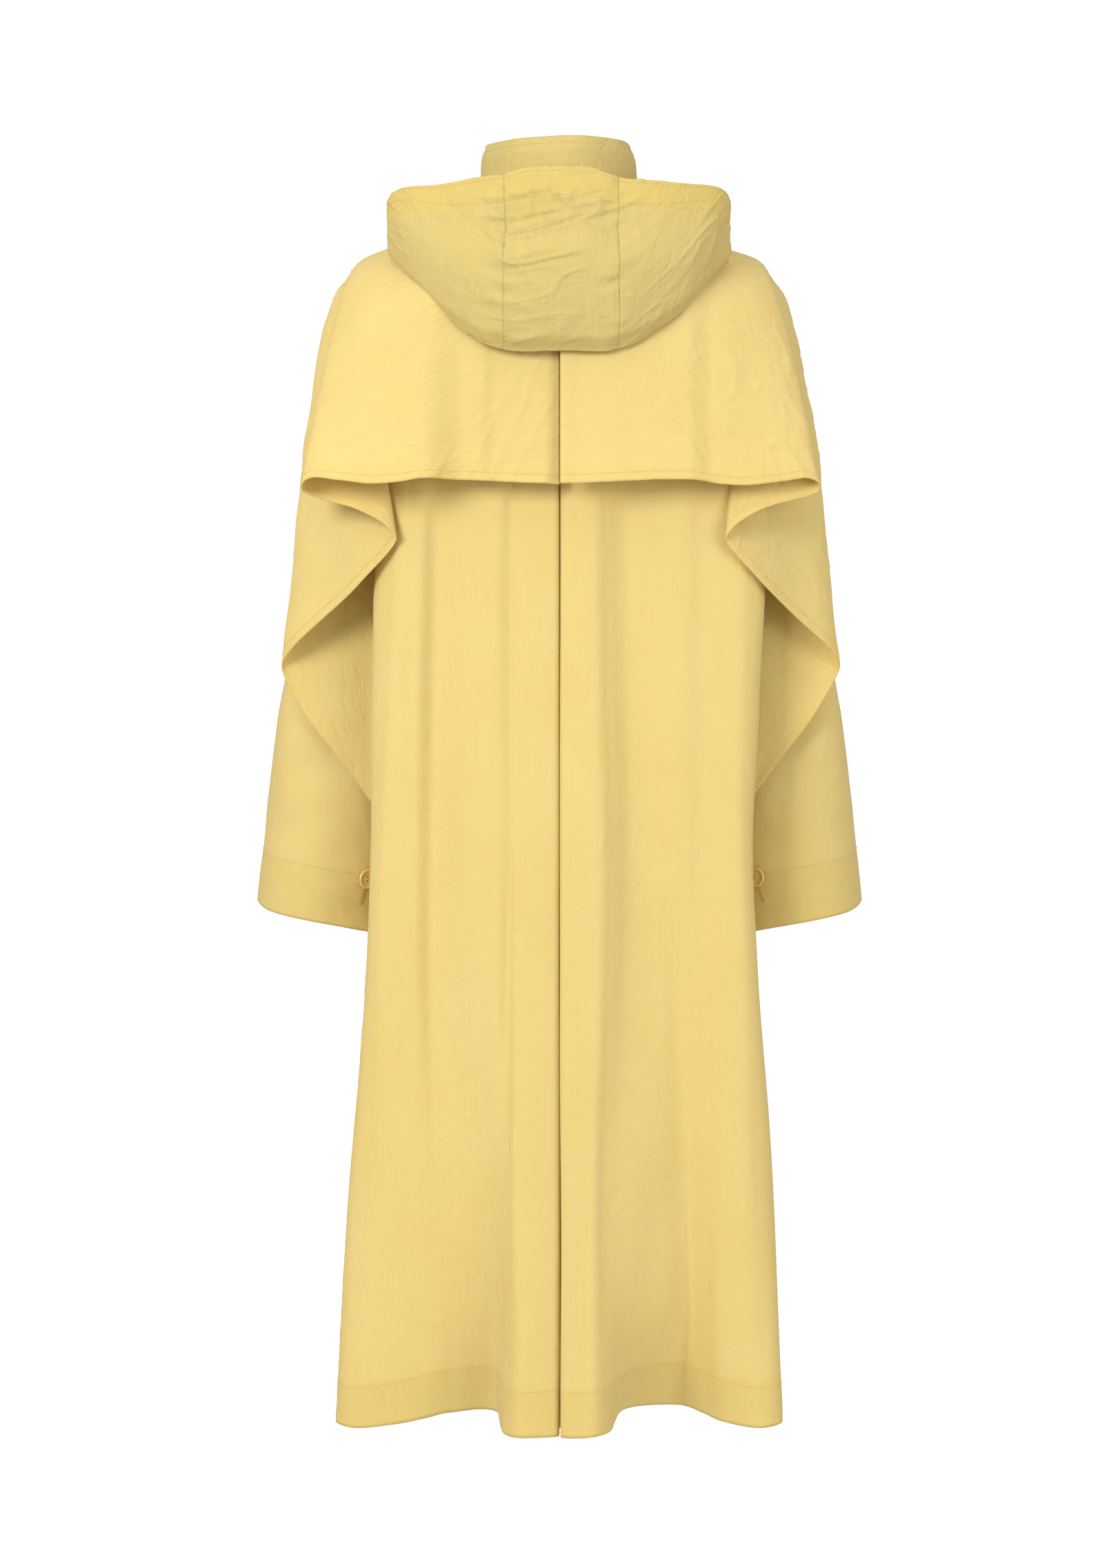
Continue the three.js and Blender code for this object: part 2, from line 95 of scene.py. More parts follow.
def crease(u, v, cell, stretch, seed):
    # narrow ridges where the smooth random values pass through nought: 1 on the line itself,
    # falling straight to 0 beside it, and raised to a power that thins the ridge
    steepness = 3.2
    power = 1.6
    return np.clip(1 - steepness * np.abs(wavy(u, v, cell, stretch, seed)), 0, 1) ** power


def turned(u, v, angle):
    # turns cloth coordinates by degrees with their cosine and sine, so that a pattern runs slantwise
    c = math.cos(math.radians(angle))
    s = math.sin(math.radians(angle))
    return u * c + v * s, v * c - u * s


def curveThrough(stations, shares):
    # a smooth curve through given stations, read at shares of its length from 0 to 1:
    # a cubic between each two, whose slopes follow the stations on both sides
    stepsPerRun = 24
    stations = np.array(stations, float)
    padded = np.vstack([2 * stations[0] - stations[1], stations, 2 * stations[-1] - stations[-2]])
    t = np.linspace(0, 1, stepsPerRun, endpoint=False)[:, None]
    runs = []
    for k in range(len(stations) - 1):
        p0, p1, p2, p3 = padded[k:k + 4]
        runs.append(0.5 * (2 * p1 + (p2 - p0) * t + (2 * p0 - 5 * p1 + 4 * p2 - p3) * t ** 2
                           + (3 * p1 - p0 - 3 * p2 + p3) * t ** 3))
    fine = np.vstack(runs + [stations[-1:]])
    steps = np.linalg.norm(np.diff(fine[:, :3], axis=0), axis=1)
    reach = np.concatenate([[0], np.cumsum(steps)])
    reach = reach / reach[-1]
    return np.stack([np.interp(shares, reach, fine[:, k]) for k in range(fine.shape[1])], -1)


def straightThrough(stations, values):
    # reads a table of stations, whose first column rises, at many values, straight between rows
    stations = np.array(stations, float)
    return [np.interp(values, stations[:, 0], stations[:, k]) for k in range(1, stations.shape[1])]


def gridNormals(points):
    # cross product of the two directions in which the grid runs
    across = np.gradient(points, axis=0)
    along = np.gradient(points, axis=1)
    normal = np.cross(across, along)
    return normal / np.maximum(np.linalg.norm(normal, axis=-1, keepdims=True), 1e-12)


def clothLengths(points):
    # distances run along the grid's rows and columns, which is how the cloth lies flat
    across = np.linalg.norm(np.diff(points, axis=0), axis=-1)
    along = np.linalg.norm(np.diff(points, axis=1), axis=-1)
    u = np.vstack([np.zeros((1, points.shape[1])), np.cumsum(across, axis=0)])
    v = np.hstack([np.zeros((points.shape[0], 1)), np.cumsum(along, axis=1)])
    return u, v


def addObject(name, mesh, material):
    # puts a mesh into the scene, with its material and smooth shading
    piece = bpy.data.objects.new(name, mesh)
    bpy.context.scene.collection.objects.link(piece)
    mesh.materials.append(material)
    mesh.polygons.foreach_set("use_smooth", np.ones(len(mesh.polygons), bool))
    return piece


def meshFrom(name, points, faces):
    # a mesh from an array of points and its faces, which are an array or a list of lists
    mesh = bpy.data.meshes.new(name)
    faces = faces if isinstance(faces, list) else faces.tolist()
    mesh.from_pydata(points.reshape(-1, 3).tolist(), [], faces)
    return mesh


def gridFaces(columns, rows, wraps=False):
    # quads of a grid stored column by column: point (i, j) has the number i * rows + j
    i = np.arange(columns if wraps else columns - 1)[:, None]
    j = np.arange(rows - 1)[None, :]
    k = (i + 1) % columns
    quads = np.stack([i * rows + j, k * rows + j, k * rows + j + 1, i * rows + j + 1], -1)
    return quads.reshape(-1, 4)


def clothPiece(name, points, material, outward, thickness=0.0009, doubled=None, wraps=False):
    # a sheet of cloth on a grid of points, turned so that its normals agree with outward, the
    # rough outward directions; its map is the run along the cloth, in metres
    normals = gridNormals(points)
    if (normals * outward).sum() < 0:
        points = points[::-1]
        doubled = None if doubled is None else doubled[::-1]
    columns, rows = points.shape[:2]
    mesh = meshFrom(name, inRow(points), gridFaces(columns, rows, wraps))
    u, v = clothLengths(points)
    if wraps:
        u = u - u.mean(axis=0)
    corners = np.empty(len(mesh.loops), np.int64)
    mesh.loops.foreach_get("vertex_index", corners)
    layer = mesh.uv_layers.new(name="cloth")
    flat = np.stack([u.reshape(-1)[corners], v.reshape(-1)[corners]], -1)
    layer.data.foreach_set("uv", flat.reshape(-1))
    values = np.zeros((columns, rows)) if doubled is None else doubled
    attribute = mesh.attributes.new("doubled", "FLOAT", "POINT")
    attribute.data.foreach_set("value", values.astype(np.float32).reshape(-1))
    piece = addObject(name, mesh, material)
    shell = piece.modifiers.new("thickness", "SOLIDIFY")
    shell.thickness = thickness
    shell.offset = -1
    return piece


stitch = {"pitch": 0.0034, "length": 0.0024, "radius": 0.00032, "lift": 0.0005}


def stitches(name, paths, material):
    # short spindles of thread laid a pitch apart along paths, each a pair of points and normals:
    # two pointed ends and four corners round the middle of each stitch
    further = 0.001  # the thread's direction is read this far ahead
    corners = []
    for points, normals in paths:
        steps = np.linalg.norm(np.diff(points, axis=0), axis=1)
        reach = np.concatenate([[0], np.cumsum(steps)])
        places = np.arange(stitch["pitch"], reach[-1] - stitch["pitch"], stitch["pitch"])
        centre = np.stack([np.interp(places, reach, points[:, k]) for k in range(3)], -1)
        ahead = np.stack([np.interp(places + further, reach, points[:, k]) for k in range(3)], -1)
        normal = np.stack([np.interp(places, reach, normals[:, k]) for k in range(3)], -1)
        run = ahead - centre
        run = run / np.maximum(np.linalg.norm(run, axis=1, keepdims=True), 1e-9)
        side = np.cross(run, normal) * stitch["radius"]
        half = run * stitch["length"] / 2
        lift = normal * stitch["radius"]
        corners.append(np.stack([centre - half, centre + side, centre + lift, centre - side,
                                 centre - lift, centre + half], 1))
    corners = np.concatenate(corners)
    one = np.array([[0, 2, 1], [0, 3, 2], [0, 4, 3], [0, 1, 4],
                    [5, 1, 2], [5, 2, 3], [5, 3, 4], [5, 4, 1]])
    faces = (one[None] + 6 * np.arange(len(corners))[:, None, None]).reshape(-1, 3)
    return addObject(name, meshFrom(name, inRow(corners), faces), material)


def rowOf(points, share, outward, lift=stitch["lift"]):
    # the line at one share of the grid's height, lifted off the cloth, and its normals
    normals = gridNormals(points) * outward
    row = share * (points.shape[1] - 1)
    low = int(row)
    high = min(low + 1, points.shape[1] - 1)
    line = mix(points[:, low], points[:, high], row - low)
    normal = normals[:, low]
    return line + normal * lift, normal


def columnOf(points, share, outward):
    # the same line at one share of the grid's width
    return rowOf(np.swapaxes(points, 0, 1), share, -outward)


# Materials

def nodesFor(name):
    # a new material whose node tree is empty
    material = bpy.data.materials.new(name)
    material.use_nodes = True
    tree = material.node_tree
    tree.nodes.clear()
    return material, tree


def link(tree, source, target):
    # joins an output to an input
    tree.links.new(source, target)


def scaled(tree, source, scale):
    # coordinates multiplied by a scale of their own along each axis
    mapping = tree.nodes.new("ShaderNodeMapping")
    mapping.inputs["Scale"].default_value = scale
    link(tree, source, mapping.inputs["Vector"])
    return mapping.outputs["Vector"]


def noise(tree, source, scale, detail=2.0, rough=0.5, distortion=0.0):
    # soft random values from 0 to 1, so many to a unit, with finer layers added on top
    node = tree.nodes.new("ShaderNodeTexNoise")
    node.inputs["Scale"].default_value = scale
    node.inputs["Detail"].default_value = detail
    node.inputs["Roughness"].default_value = rough
    node.inputs["Distortion"].default_value = distortion
    link(tree, source, node.inputs["Vector"])
    return node.outputs["Fac"]


def ramp(tree, source, low, high, lowValue=0.0, highValue=1.0):
    # lowValue up to low, highValue from high on, and straight between them
    node = tree.nodes.new("ShaderNodeMapRange")
    node.inputs["From Min"].default_value = low
    node.inputs["From Max"].default_value = high
    node.inputs["To Min"].default_value = lowValue
    node.inputs["To Max"].default_value = highValue
    link(tree, source, node.inputs["Value"])
    return node.outputs["Result"]


def maths(tree, kind, a, b):
    # a and b added or multiplied, as kind says; each is an output or a number
    node = tree.nodes.new("ShaderNodeMath")
    node.operation = kind
    for socket, value in zip(node.inputs, (a, b)):
        if isinstance(value, float):
            socket.default_value = value
        else:
            link(tree, value, socket)
    return node.outputs[0]


def mixColour(tree, share, a, b, kind="MIX"):
    # colour a blended with colour b by a share; each is an output or a fixed value
    node = tree.nodes.new("ShaderNodeMix")
    node.data_type = "RGBA"
    node.blend_type = kind
    for socket, value in ((node.inputs[0], share), (node.inputs[6], a), (node.inputs[7], b)):
        if isinstance(value, (float, tuple)):
            socket.default_value = value
        else:
            link(tree, value, socket)
    return node.outputs[2]


def bump(tree, height, strength, distance, under=None):
    # the normal tilted by the slope of a height, over another tilted normal where there is one
    node = tree.nodes.new("ShaderNodeBump")
    node.inputs["Strength"].default_value = strength
    node.inputs["Distance"].default_value = distance
    link(tree, height, node.inputs["Height"])
    if under is not None:
        link(tree, under, node.inputs["Normal"])
    return node.outputs["Normal"]


def surface(tree, values, colour=None, normal=None):
    # the surface shader with fixed values on its own inputs, by their names
    shader = tree.nodes.new("ShaderNodeBsdfPrincipled")
    for name, value in values.items():
        shader.inputs[name].default_value = value
    if colour is not None:
        link(tree, colour, shader.inputs["Base Color"])
    if normal is not None:
        link(tree, normal, shader.inputs["Normal"])
    return shader.outputs["BSDF"]


def show(tree, shader):
    # sends a shader to the material's surface
    output = tree.nodes.new("ShaderNodeOutputMaterial")
    link(tree, shader, output.inputs["Surface"])


clothLook = {
    "light": (0.856, 0.692, 0.276, 1.0),  # yellow of a single layer
    "deep": (0.800, 0.600, 0.142, 1.0),  # where two layers lie together
    # the same yellow darkened for the hood and the collar: painted shade
    "hoodPaintedShade": (0.728, 0.592, 0.226, 1.0),
    "slub": (0.90, 0.71, 0.30, 1.0),  # the thick places in the thread
    "glow": (1.0, 0.99, 0.32, 1.0),  # what the cloth leaves of light that passes through it
    "through": 0.33,  # how much light passes through
    "warp": (700.0, 12.0),  # warp threads to a metre, and slubs along a metre of them
    "weft": (20.0, 620.0),  # slubs along a metre of the weft, and its threads to a metre
    "grain": 1500.0,  # grains, patches and crinkles to a metre
    "mottle": 9.0,
    "creases": 46.0,
    "weaveDepth": 0.0005,  # heights that tilt the normal
    "creaseDepth": 0.0022,
}


def clothMaterial(name, light, deep, crinkle=0.5, horizontal=False):
    # plain weave: noise drawn out along the warp and the weft makes slubs, mottling deepens the
    # yellow, and the weave's height and small crinkles tilt the normal
    material, tree = nodesFor(name)
    uv = tree.nodes.new("ShaderNodeUVMap")
    uv.uv_map = "cloth"
    flat = uv.outputs["UV"]
    order = -1 if horizontal else 1
    warp = noise(tree, scaled(tree, flat, clothLook["warp"][::order] + (1.0,)), 1.0, 3.0, 0.6)
    weft = noise(tree, scaled(tree, flat, clothLook["weft"][::order] + (1.0,)), 1.0, 2.0, 0.5)
    grain = noise(tree, flat, clothLook["grain"], 1.0)
    mottle = noise(tree, flat, clothLook["mottle"], 3.0, 0.55)
    creases = noise(tree, flat, clothLook["creases"], 4.0, 0.62, 1.4)
    doubled = tree.nodes.new("ShaderNodeAttribute")
    doubled.attribute_name = "doubled"
    base = mixColour(tree, doubled.outputs["Fac"], light, deep)
    base = mixColour(tree, ramp(tree, mottle, 0.3, 0.7, 0.0, 0.22), base, deep)
    base = mixColour(tree, ramp(tree, warp, 0.56, 0.74, 0.0, 0.55), base, clothLook["slub"])
    base = mixColour(tree, ramp(tree, warp, 0.42, 0.26, 0.0, 0.35), base, deep)
    base = mixColour(tree, ramp(tree, weft, 0.6, 0.8, 0.0, 0.25), base, clothLook["slub"])
    height = maths(tree, "MULTIPLY", warp, 0.45)
    height = maths(tree, "ADD", height, maths(tree, "MULTIPLY", weft, 0.25))
    height = maths(tree, "ADD", height, maths(tree, "MULTIPLY", grain, 0.3))
    woven = bump(tree, height, 0.35, clothLook["weaveDepth"])
    creased = bump(tree, creases, crinkle, clothLook["creaseDepth"], woven)
    face = surface(tree, {"Roughness": 0.82, "Sheen Weight": 0.18, "Sheen Roughness": 0.5,
                          "Specular IOR Level": 0.25}, base, creased)
    glow = tree.nodes.new("ShaderNodeBsdfTranslucent")
    link(tree, mixColour(tree, 1.0, base, clothLook["glow"], "MULTIPLY"), glow.inputs["Color"])
    link(tree, creased, glow.inputs["Normal"])
    both = tree.nodes.new("ShaderNodeMixShader")
    both.inputs["Fac"].default_value = clothLook["through"]
    link(tree, face, both.inputs[1])
    link(tree, glow.outputs["BSDF"], both.inputs[2])
    show(tree, both.outputs["Shader"])
    return material


def plainMaterial(name, colour, spread, roughness, metallic=0.0, grain=400.0, coat=0.0):
    # one colour that a fine noise blends towards spread and raises a little, for trims
    material, tree = nodesFor(name)
    place = tree.nodes.new("ShaderNodeTexCoord")
    mottle = noise(tree, place.outputs["Object"], grain, 3.0, 0.6)
    base = mixColour(tree, ramp(tree, mottle, 0.3, 0.7), colour, spread)
    show(tree, surface(tree, {"Roughness": roughness, "Metallic": metallic, "Coat Weight": coat},
                       base, bump(tree, mottle, 0.15, 0.0002)))
    return material


bodyCloth = clothMaterial("yellowSlubCloth", clothLook["light"], clothLook["deep"], 0.35)
capeCloth = clothMaterial("capeSlubCloth", clothLook["light"], clothLook["deep"], 0.6, True)
# the hood and the collar take the darker yellow, painted shade on the same cloth
hoodClothShaded = clothMaterial("hoodShadedSlubCloth", clothLook["hoodPaintedShade"], clothLook["deep"], 0.9)
innerCloth = clothMaterial("innerSlubCloth", clothLook["deep"], clothLook["deep"], 0.3)
thread = plainMaterial("yellowThread", (0.72, 0.52, 0.15, 1), (0.8, 0.6, 0.2, 1), 0.6)
# the binding round the slot is real; its colour, darker than the sewing thread, is painted shade of the
# slot
holeThreadShaded = plainMaterial("buttonholeThread", (0.50, 0.33, 0.08, 1), (0.62, 0.42, 0.12, 1), 0.65)
buttonResin = plainMaterial("yellowButtonResin", (0.66, 0.44, 0.11, 1), (0.74, 0.52, 0.16, 1),
                            0.34, grain=160.0, coat=0.3)
nickel = plainMaterial("dullNickel", (0.55, 0.52, 0.46, 1), (0.64, 0.61, 0.55, 1), 0.32, 1.0)
tapeCloth = plainMaterial("loopTape", (0.70, 0.49, 0.15, 1), (0.80, 0.58, 0.20, 1), 0.85,
                          grain=900.0)
print("materials made")


# Body: each half is a sheet whose plan changes from the chest down to the hem

bodyShape = {
    "chest": 1.060,  # height of the seam to the yoke
    "armpit": 0.925,
    "armhole": (0.66, 0.86),  # where the top falls to the armpit, in shares of the width
    "hemHeight": 0.0145,  # level of the hem
    "hemBand": 0.058,  # height of the hem's stitched edge
    "bandEdge": 0.0015,  # how softly the doubled band ends
    "facingDepth": 0.003,
    "rows": 250,
    "columnsPerStation": 10,
    "hemTint": 0.25,  # how much deeper the doubled cloth looks
}
# Plans of the two back panels at rising heights, in millimetres from the middle and forward.
# Each runs from the centre pleat's inner edge round the fold, over the flute and its valley,
# and over the outer fold to the side seam.
planHeights = [0.0, 0.110, 0.230, 0.450, 0.575, 0.700, 0.930, 1.070]
backPlans = {
    "left": [
        [(2.6, -148), (0.4, -158), (2.2, -165), (12, -169), (39, -171), (53, -156), (57, -127),
         (60, -101), (76, -95), (98, -99), (112, -104), (128, -111), (158, -121), (195, -124),
         (215, -106), (199, -54), (166, 12)],
        [(2.6, -146), (0.4, -154), (2.2, -159), (14, -163), (38, -166), (49, -153), (56, -133),
         (64, -121), (82, -117), (101, -118), (114, -121), (130, -124), (158, -127), (190, -125),
         (210, -106), (195, -54), (162, 12)],
        [(2.6, -139), (0.4, -146), (2.2, -150), (15, -153), (40, -155), (49, -147), (58, -137),
         (68, -130), (85, -126), (103, -125), (116, -126), (131, -127.5), (156, -127), (183, -121),
         (203, -103), (188, -54), (158, 12)],
        [(2.6, -124), (0.4, -131), (2.2, -135), (14, -137), (40, -138), (49, -133.5), (60, -137),
         (75, -134), (94, -127.5), (112, -120), (124, -118), (138, -125), (156, -122.5), (175, -119),
         (186.5, -100), (175, -50), (152, 12)],
        [(2.6, -118), (0.4, -125), (2.2, -128.5), (13, -130), (40, -130), (47, -128), (58, -130.5),
         (72, -129), (93, -124), (112, -116), (123, -114.5), (137, -122.5), (154, -120), (172, -114),
         (182.5, -95), (170, -48), (150, 12)],
        [(2.6, -111), (0.4, -117), (2.2, -120.5), (13, -122), (40, -122), (47, -120.3), (58, -124),
         (70, -124), (92, -120), (112, -112), (122, -111), (136, -120), (152, -117), (168, -110),
         (182, -90), (168, -46), (148, 12)],
        [(2.6, -100), (0.4, -105), (2.2, -107.5), (12, -109), (38, -109), (46, -107.8), (57, -111),
         (68, -111), (92, -109), (112, -104), (121, -103.5), (131, -106.5), (142, -104.5),
         (158, -97), (173, -78), (160, -42), (147, 12)],
        [(2.6, -96), (0.4, -101), (2.2, -104), (12, -106), (28, -107), (42, -107), (58, -106),
         (75, -105), (95, -103), (112, -100), (124, -97), (136, -92.5), (149, -84), (160, -73),
         (168, -58), (158, -38), (148, 12)],
    ],
    "right": [
        [(2.6, -152), (0.4, -163), (2.2, -170), (14, -173), (33, -176), (48.5, -159), (51.5, -128),
         (53, -98), (72, -77), (108, -62), (124, -60), (138, -80), (156, -108), (190, -124),
         (213, -108), (197, -54), (166, 12)],
        [(2.6, -148), (0.4, -160), (2.2, -167), (15, -170), (32, -172), (46, -160), (60, -144),
         (81, -125), (101, -112), (119, -100), (127, -97.5), (140, -108), (154, -121), (187, -127),
         (210, -108), (194, -54), (162, 12)],
        [(2.6, -142), (0.4, -151), (2.2, -157), (15, -160), (31, -162), (43, -154), (61, -144),
         (82, -133), (101, -123), (116, -114), (125, -112), (139, -119), (156, -127), (184, -127),
         (206, -104), (190, -54), (158, 12)],
        [(2.6, -128), (0.4, -136), (2.2, -141), (14, -143), (35, -147), (48, -139.5), (64, -127.5),
         (82, -120.5), (99, -117), (110, -115), (121, -116.5), (135, -119), (158, -123), (179, -121),
         (190, -101), (177, -50), (152, 12)],
        [(2.6, -122), (0.4, -129), (2.2, -134), (14, -136), (36, -139.5), (50, -131), (66, -119.5),
         (83, -115.5), (99, -114.5), (112, -116), (123, -116), (136, -114.5), (156, -117),
         (175, -115), (184.5, -97), (172, -48), (150, 12)],
        [(2.6, -114), (0.4, -121), (2.2, -126), (13, -128), (34, -131), (48, -122.5), (64, -112.5),
         (82, -111), (98, -112.5), (115, -114.5), (124, -113.5), (136, -111), (155, -111.5),
         (176, -110), (191, -91), (174, -46), (148, 12)],
        [(2.6, -102), (0.4, -108), (2.2, -112), (12, -114.5), (32, -115.2), (46, -110), (61, -104.5),
         (75, -104), (95, -104), (113, -104.5), (124, -103.5), (136, -100.5), (156, -99), (178, -94),
         (196, -76), (164, -42), (147, 12)],
        [(2.6, -96), (0.4, -101), (2.2, -104), (12, -106), (28, -107), (42, -107), (58, -106),
         (75, -105), (95, -103), (112, -100), (124, -97), (136, -92.5), (149, -84), (160, -73),
         (168, -58), (158, -38), (148, 12)],
    ],
}
# how far the hem is drawn up at each station, in millimetres
hemLift = {
    "left": [0, 0, 0, 0, 0, 1, 7, 12, 13, 11, 10, 7, 3, 0, 3, 0, 0],
    "right": [0, 0, 0, 0, 2, 4, 8, 13, 14, 12, 9, 6, 3, 0, 3, 0, 0],
}


def through(knots, table, places):
    # cubic curves through the rows of a table, which stand at rising knots: each row's slope is
    # that of the rows on both sides of it
    knots = np.array(knots, float)
    table = np.array(table, float)
    slopes = np.gradient(table, knots, axis=0)
    k = np.clip(np.searchsorted(knots, places) - 1, 0, len(knots) - 2)
    spread = (-1,) + (1,) * (table.ndim - 1)
    gap = (knots[k + 1] - knots[k]).reshape(spread)
    t = (places - knots[k]).reshape(spread) / gap
    start = table[k] * (2 * t ** 3 - 3 * t ** 2 + 1) + slopes[k] * gap * (t ** 3 - 2 * t ** 2 + t)
    bend = slopes[k + 1] * gap * (t ** 3 - t ** 2)
    return start + table[k + 1] * (3 * t ** 2 - 2 * t ** 3) + bend


def bodyTopAt(share, fromShare, toShare):
    # a panel's top falls by the smooth S from the chest to the armpit, for the armhole
    return mix(bodyShape["chest"], bodyShape["armpit"], smooth(fromShare, toShare, share))


def backPanelPoints(word):
    # plans drawn smoothly through the stations, then smoothly from height to height
    plans = np.swapaxes(np.array(backPlans[word], float) / 1000, 0, 1)
    stations = len(plans) - 1
    s = np.linspace(0, 1, stations * bodyShape["columnsPerStation"] + 1)
    plans = np.swapaxes(through(np.arange(stations + 1), plans, s * stations), 0, 1)
    levels = np.linspace(planHeights[0], planHeights[-1], 500)
    dense = through(planHeights, plans, levels)
    top = bodyTopAt(s, *bodyShape["armhole"])
    lift = through(np.arange(stations + 1), np.array(hemLift[word], float) / 1000, s * stations)
    hem = bodyShape["hemHeight"] + lift[:, None]
    height = mix(hem, top[:, None], np.linspace(0, 1, bodyShape["rows"])[None, :])
    place = (height - levels[0]) / (levels[1] - levels[0])
    low = np.clip(place.astype(int), 0, len(levels) - 2)
    column = np.arange(len(s))[:, None]
    plan = mix(dense[low, column], dense[low + 1, column], (place - low)[..., None])
    return np.concatenate([plan, height[..., None]], -1)


# each cloth's rumples: the width of a cell in metres, and how many times longer it is
rumple = {
    "wide": (0.075, 3.0),
    "narrow": (0.030, 4.0),
    "crease": (0.022, 2.6),
    "fineCrease": (0.013, 2.0),
    "patch": (0.11, 1.3),
    "still": 0.02,  # the cloth beside a seam that holds still
}


def dressUp(points, seed, soft=0.0016, small=0.00035, sideways=False):
    # wide hollows and narrower ones of soft height, and patches of slanting creases of small
    # height, moved along the normals and faded out at the first and last columns
    u, v = clothLengths(points)
    normals = gridNormals(points)
    hollows = wavy(u, v, *rumple["wide"], seed) * soft
    hollows = hollows + wavy(u, v, *rumple["narrow"], seed + 1) * soft * 0.45
    a, b = turned(u, v, 24 if sideways else -12)
    thin = crease(a, b, *rumple["crease"], seed + 2)
    thin = thin + crease(a, b, *rumple["fineCrease"], seed + 3) * 0.6
    patch = smooth(-0.15, 0.6, wavy(u, v, *rumple["patch"], seed + 4))
    still = smooth(0, rumple["still"], u) * smooth(0, rumple["still"], u[-1:] - u)
    return points + normals * ((hollows + thin * patch * small) * still)[..., None]


def mirrored(points, hand):
    # the same points for the other side where hand is -1: across changes its sign
    return points * np.array([hand, 1, 1])


def finishPiece(piece, body, nodes, blendWith=None):
    # hides the CAD nodes that the piece stands for, and parents the piece to the empty of the body it
    # rides on; where blendWith is given, its contents go unread and the piece's transform is baked into
    # its points instead
    if nodes:
        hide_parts(*nodes)
    if blendWith is None:
        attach(piece, body)
    else:
        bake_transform(piece)


def radialOut(points, centre=(0.0, 0.02)):
    # level directions away from an upright line through the centre
    out = points.copy()
    out[..., 0] -= centre[0]
    out[..., 1] -= centre[1]
    out[..., 2] = 0
    return out


def inset(points, depth, outward):
    # the same surface moved in along its normals by a depth
    normals = gridNormals(points)
    sign = 1 if (normals * outward).sum() > 0 else -1
    return points - normals * sign * depth


def bandTint(height, top):
    # deeper colour below the top of the doubled band, by the smooth S over its soft edge
    edge = bodyShape["bandEdge"]
    return smooth(top + edge, top - edge, height) * bodyShape["hemTint"]


stitchRows = []
seamEdges = {}
for word, hand in sides:
    plain = dressUp(backPanelPoints(word), 11 if hand < 0 else 51, 0.0011)
    seamEdges[word] = plain[-1]
    points = mirrored(plain, hand)
    fromHem = points[..., 2] - points[:, :1, 2]
    bandTop = bodyShape["hemBand"] - bodyShape["hemHeight"]
    back = clothPiece(f"backPanel_{word}", points, bodyCloth, radialOut(points),
                      doubled=bandTint(fromHem, bandTop))
    finishPiece(back, "shell", [f"back_{word}_panel"])
    hemShare = bandTop / bodyShape["chest"]
    stitchRows.append(rowOf(points, hemShare, hand, 0.0004))
    bandRows = int(bodyShape["rows"] * (hemShare + 0.004))  # just past the stitches
    low = points[:, :bandRows]
    inner = inset(low, bodyShape["facingDepth"], radialOut(low))
    facing = clothPiece(f"hemFacing_{word}", inner, innerCloth, radialOut(inner))
    finishPiece(facing, "shell", [f"hem_facing_{word}"])
print("back panels hung")


pleat = {
    "half": 0.028,  # half the strip's width
    "inside": 0.003,  # how far inside the folded edges it lies
    "curve": 0.012,  # how much further inside its own edges lie
    "aboveHem": 0.004,
    "top": 1.062,
    "columns": 24,
    "rows": 160,
}


def underlayPoints():
    # the pleat's inner strip, just inside the deeper of the two folded edges at each height, and
    # curved inwards by the square of the distance from its middle
    s = np.linspace(-1, 1, pleat["columns"])
    height = np.linspace(bodyShape["hemHeight"] + pleat["aboveHem"], pleat["top"], pleat["rows"])
    edges = [backPanelPoints(word)[0] for word, hand in sides]
    folds = [np.interp(height, edge[:, 2], edge[:, 1]) for edge in edges]
    depth = np.max(folds, axis=0) + pleat["inside"]
    x = pleat["half"] * s[:, None] * np.ones_like(height)[None, :]
    y = depth[None, :] + pleat["curve"] * (s ** 2)[:, None]
    return np.stack([x, y, np.broadcast_to(height, x.shape)], -1)


backwards = np.array([0.0, -1.0, 0.0])
underlay = underlayPoints()
strip = clothPiece("pleatUnderlay", underlay, innerCloth, np.broadcast_to(backwards, underlay.shape))
finishPiece(strip, "shell", ["pleat_underlay"])

# Fronts: plans from the side seam to the fold line, and from there past the centre

sideChestPlan = [(0.148, 0.012), (0.147, 0.040), (0.131, 0.066), (0.1010, 0.0825)]
sideHemPlan = [(0.166, 0.012), (0.161, 0.052), (0.147, 0.098), (0.1220, 0.1343)]
frontChestPlan = [(0.1008, 0.0826), (0.070, 0.088), (0.036, 0.0915), (0.0, 0.0925), (-0.019, 0.092)]
frontHemPlan = [(0.1218, 0.1345), (0.088, 0.150), (0.050, 0.161), (0.0, 0.165), (-0.021, 0.165)]
# share of the way from the chest's plan to the hem's at each height
frontFlare = [(0, 1.0), (0.250, 0.795), (0.500, 0.540), (0.860, 0.250), (1.060, 0.0)]
frontShape = {
    "rows": 220,
    "columns": 64,
    "sideColumns": 44,
    "armhole": (0.26, 0.0),  # where the side's top falls to the armpit, in shares of its width
    "wavesFrom": 0.95,  # height above which the cloth hangs without folds
    "sideSwell": 0.0095,  # how far the side stands out below the armhole
    "facingFrom": 37,  # column at which the facing starts
    "facingDepth": 0.0028,
    "blendTop": (0.0, 0.0, 1.075),  # upper point handed on with the front
    "blendLow": (0.0, 0.0, 0.93),  # and a lower one, handed on likewise
    "stitches": (0.975, 0.62),  # shares of the width
}
# the right front laps over the left one: by how much, between which distances from the centre
lap = {"rise": 0.0112, "from": 0.060, "to": 0.024}


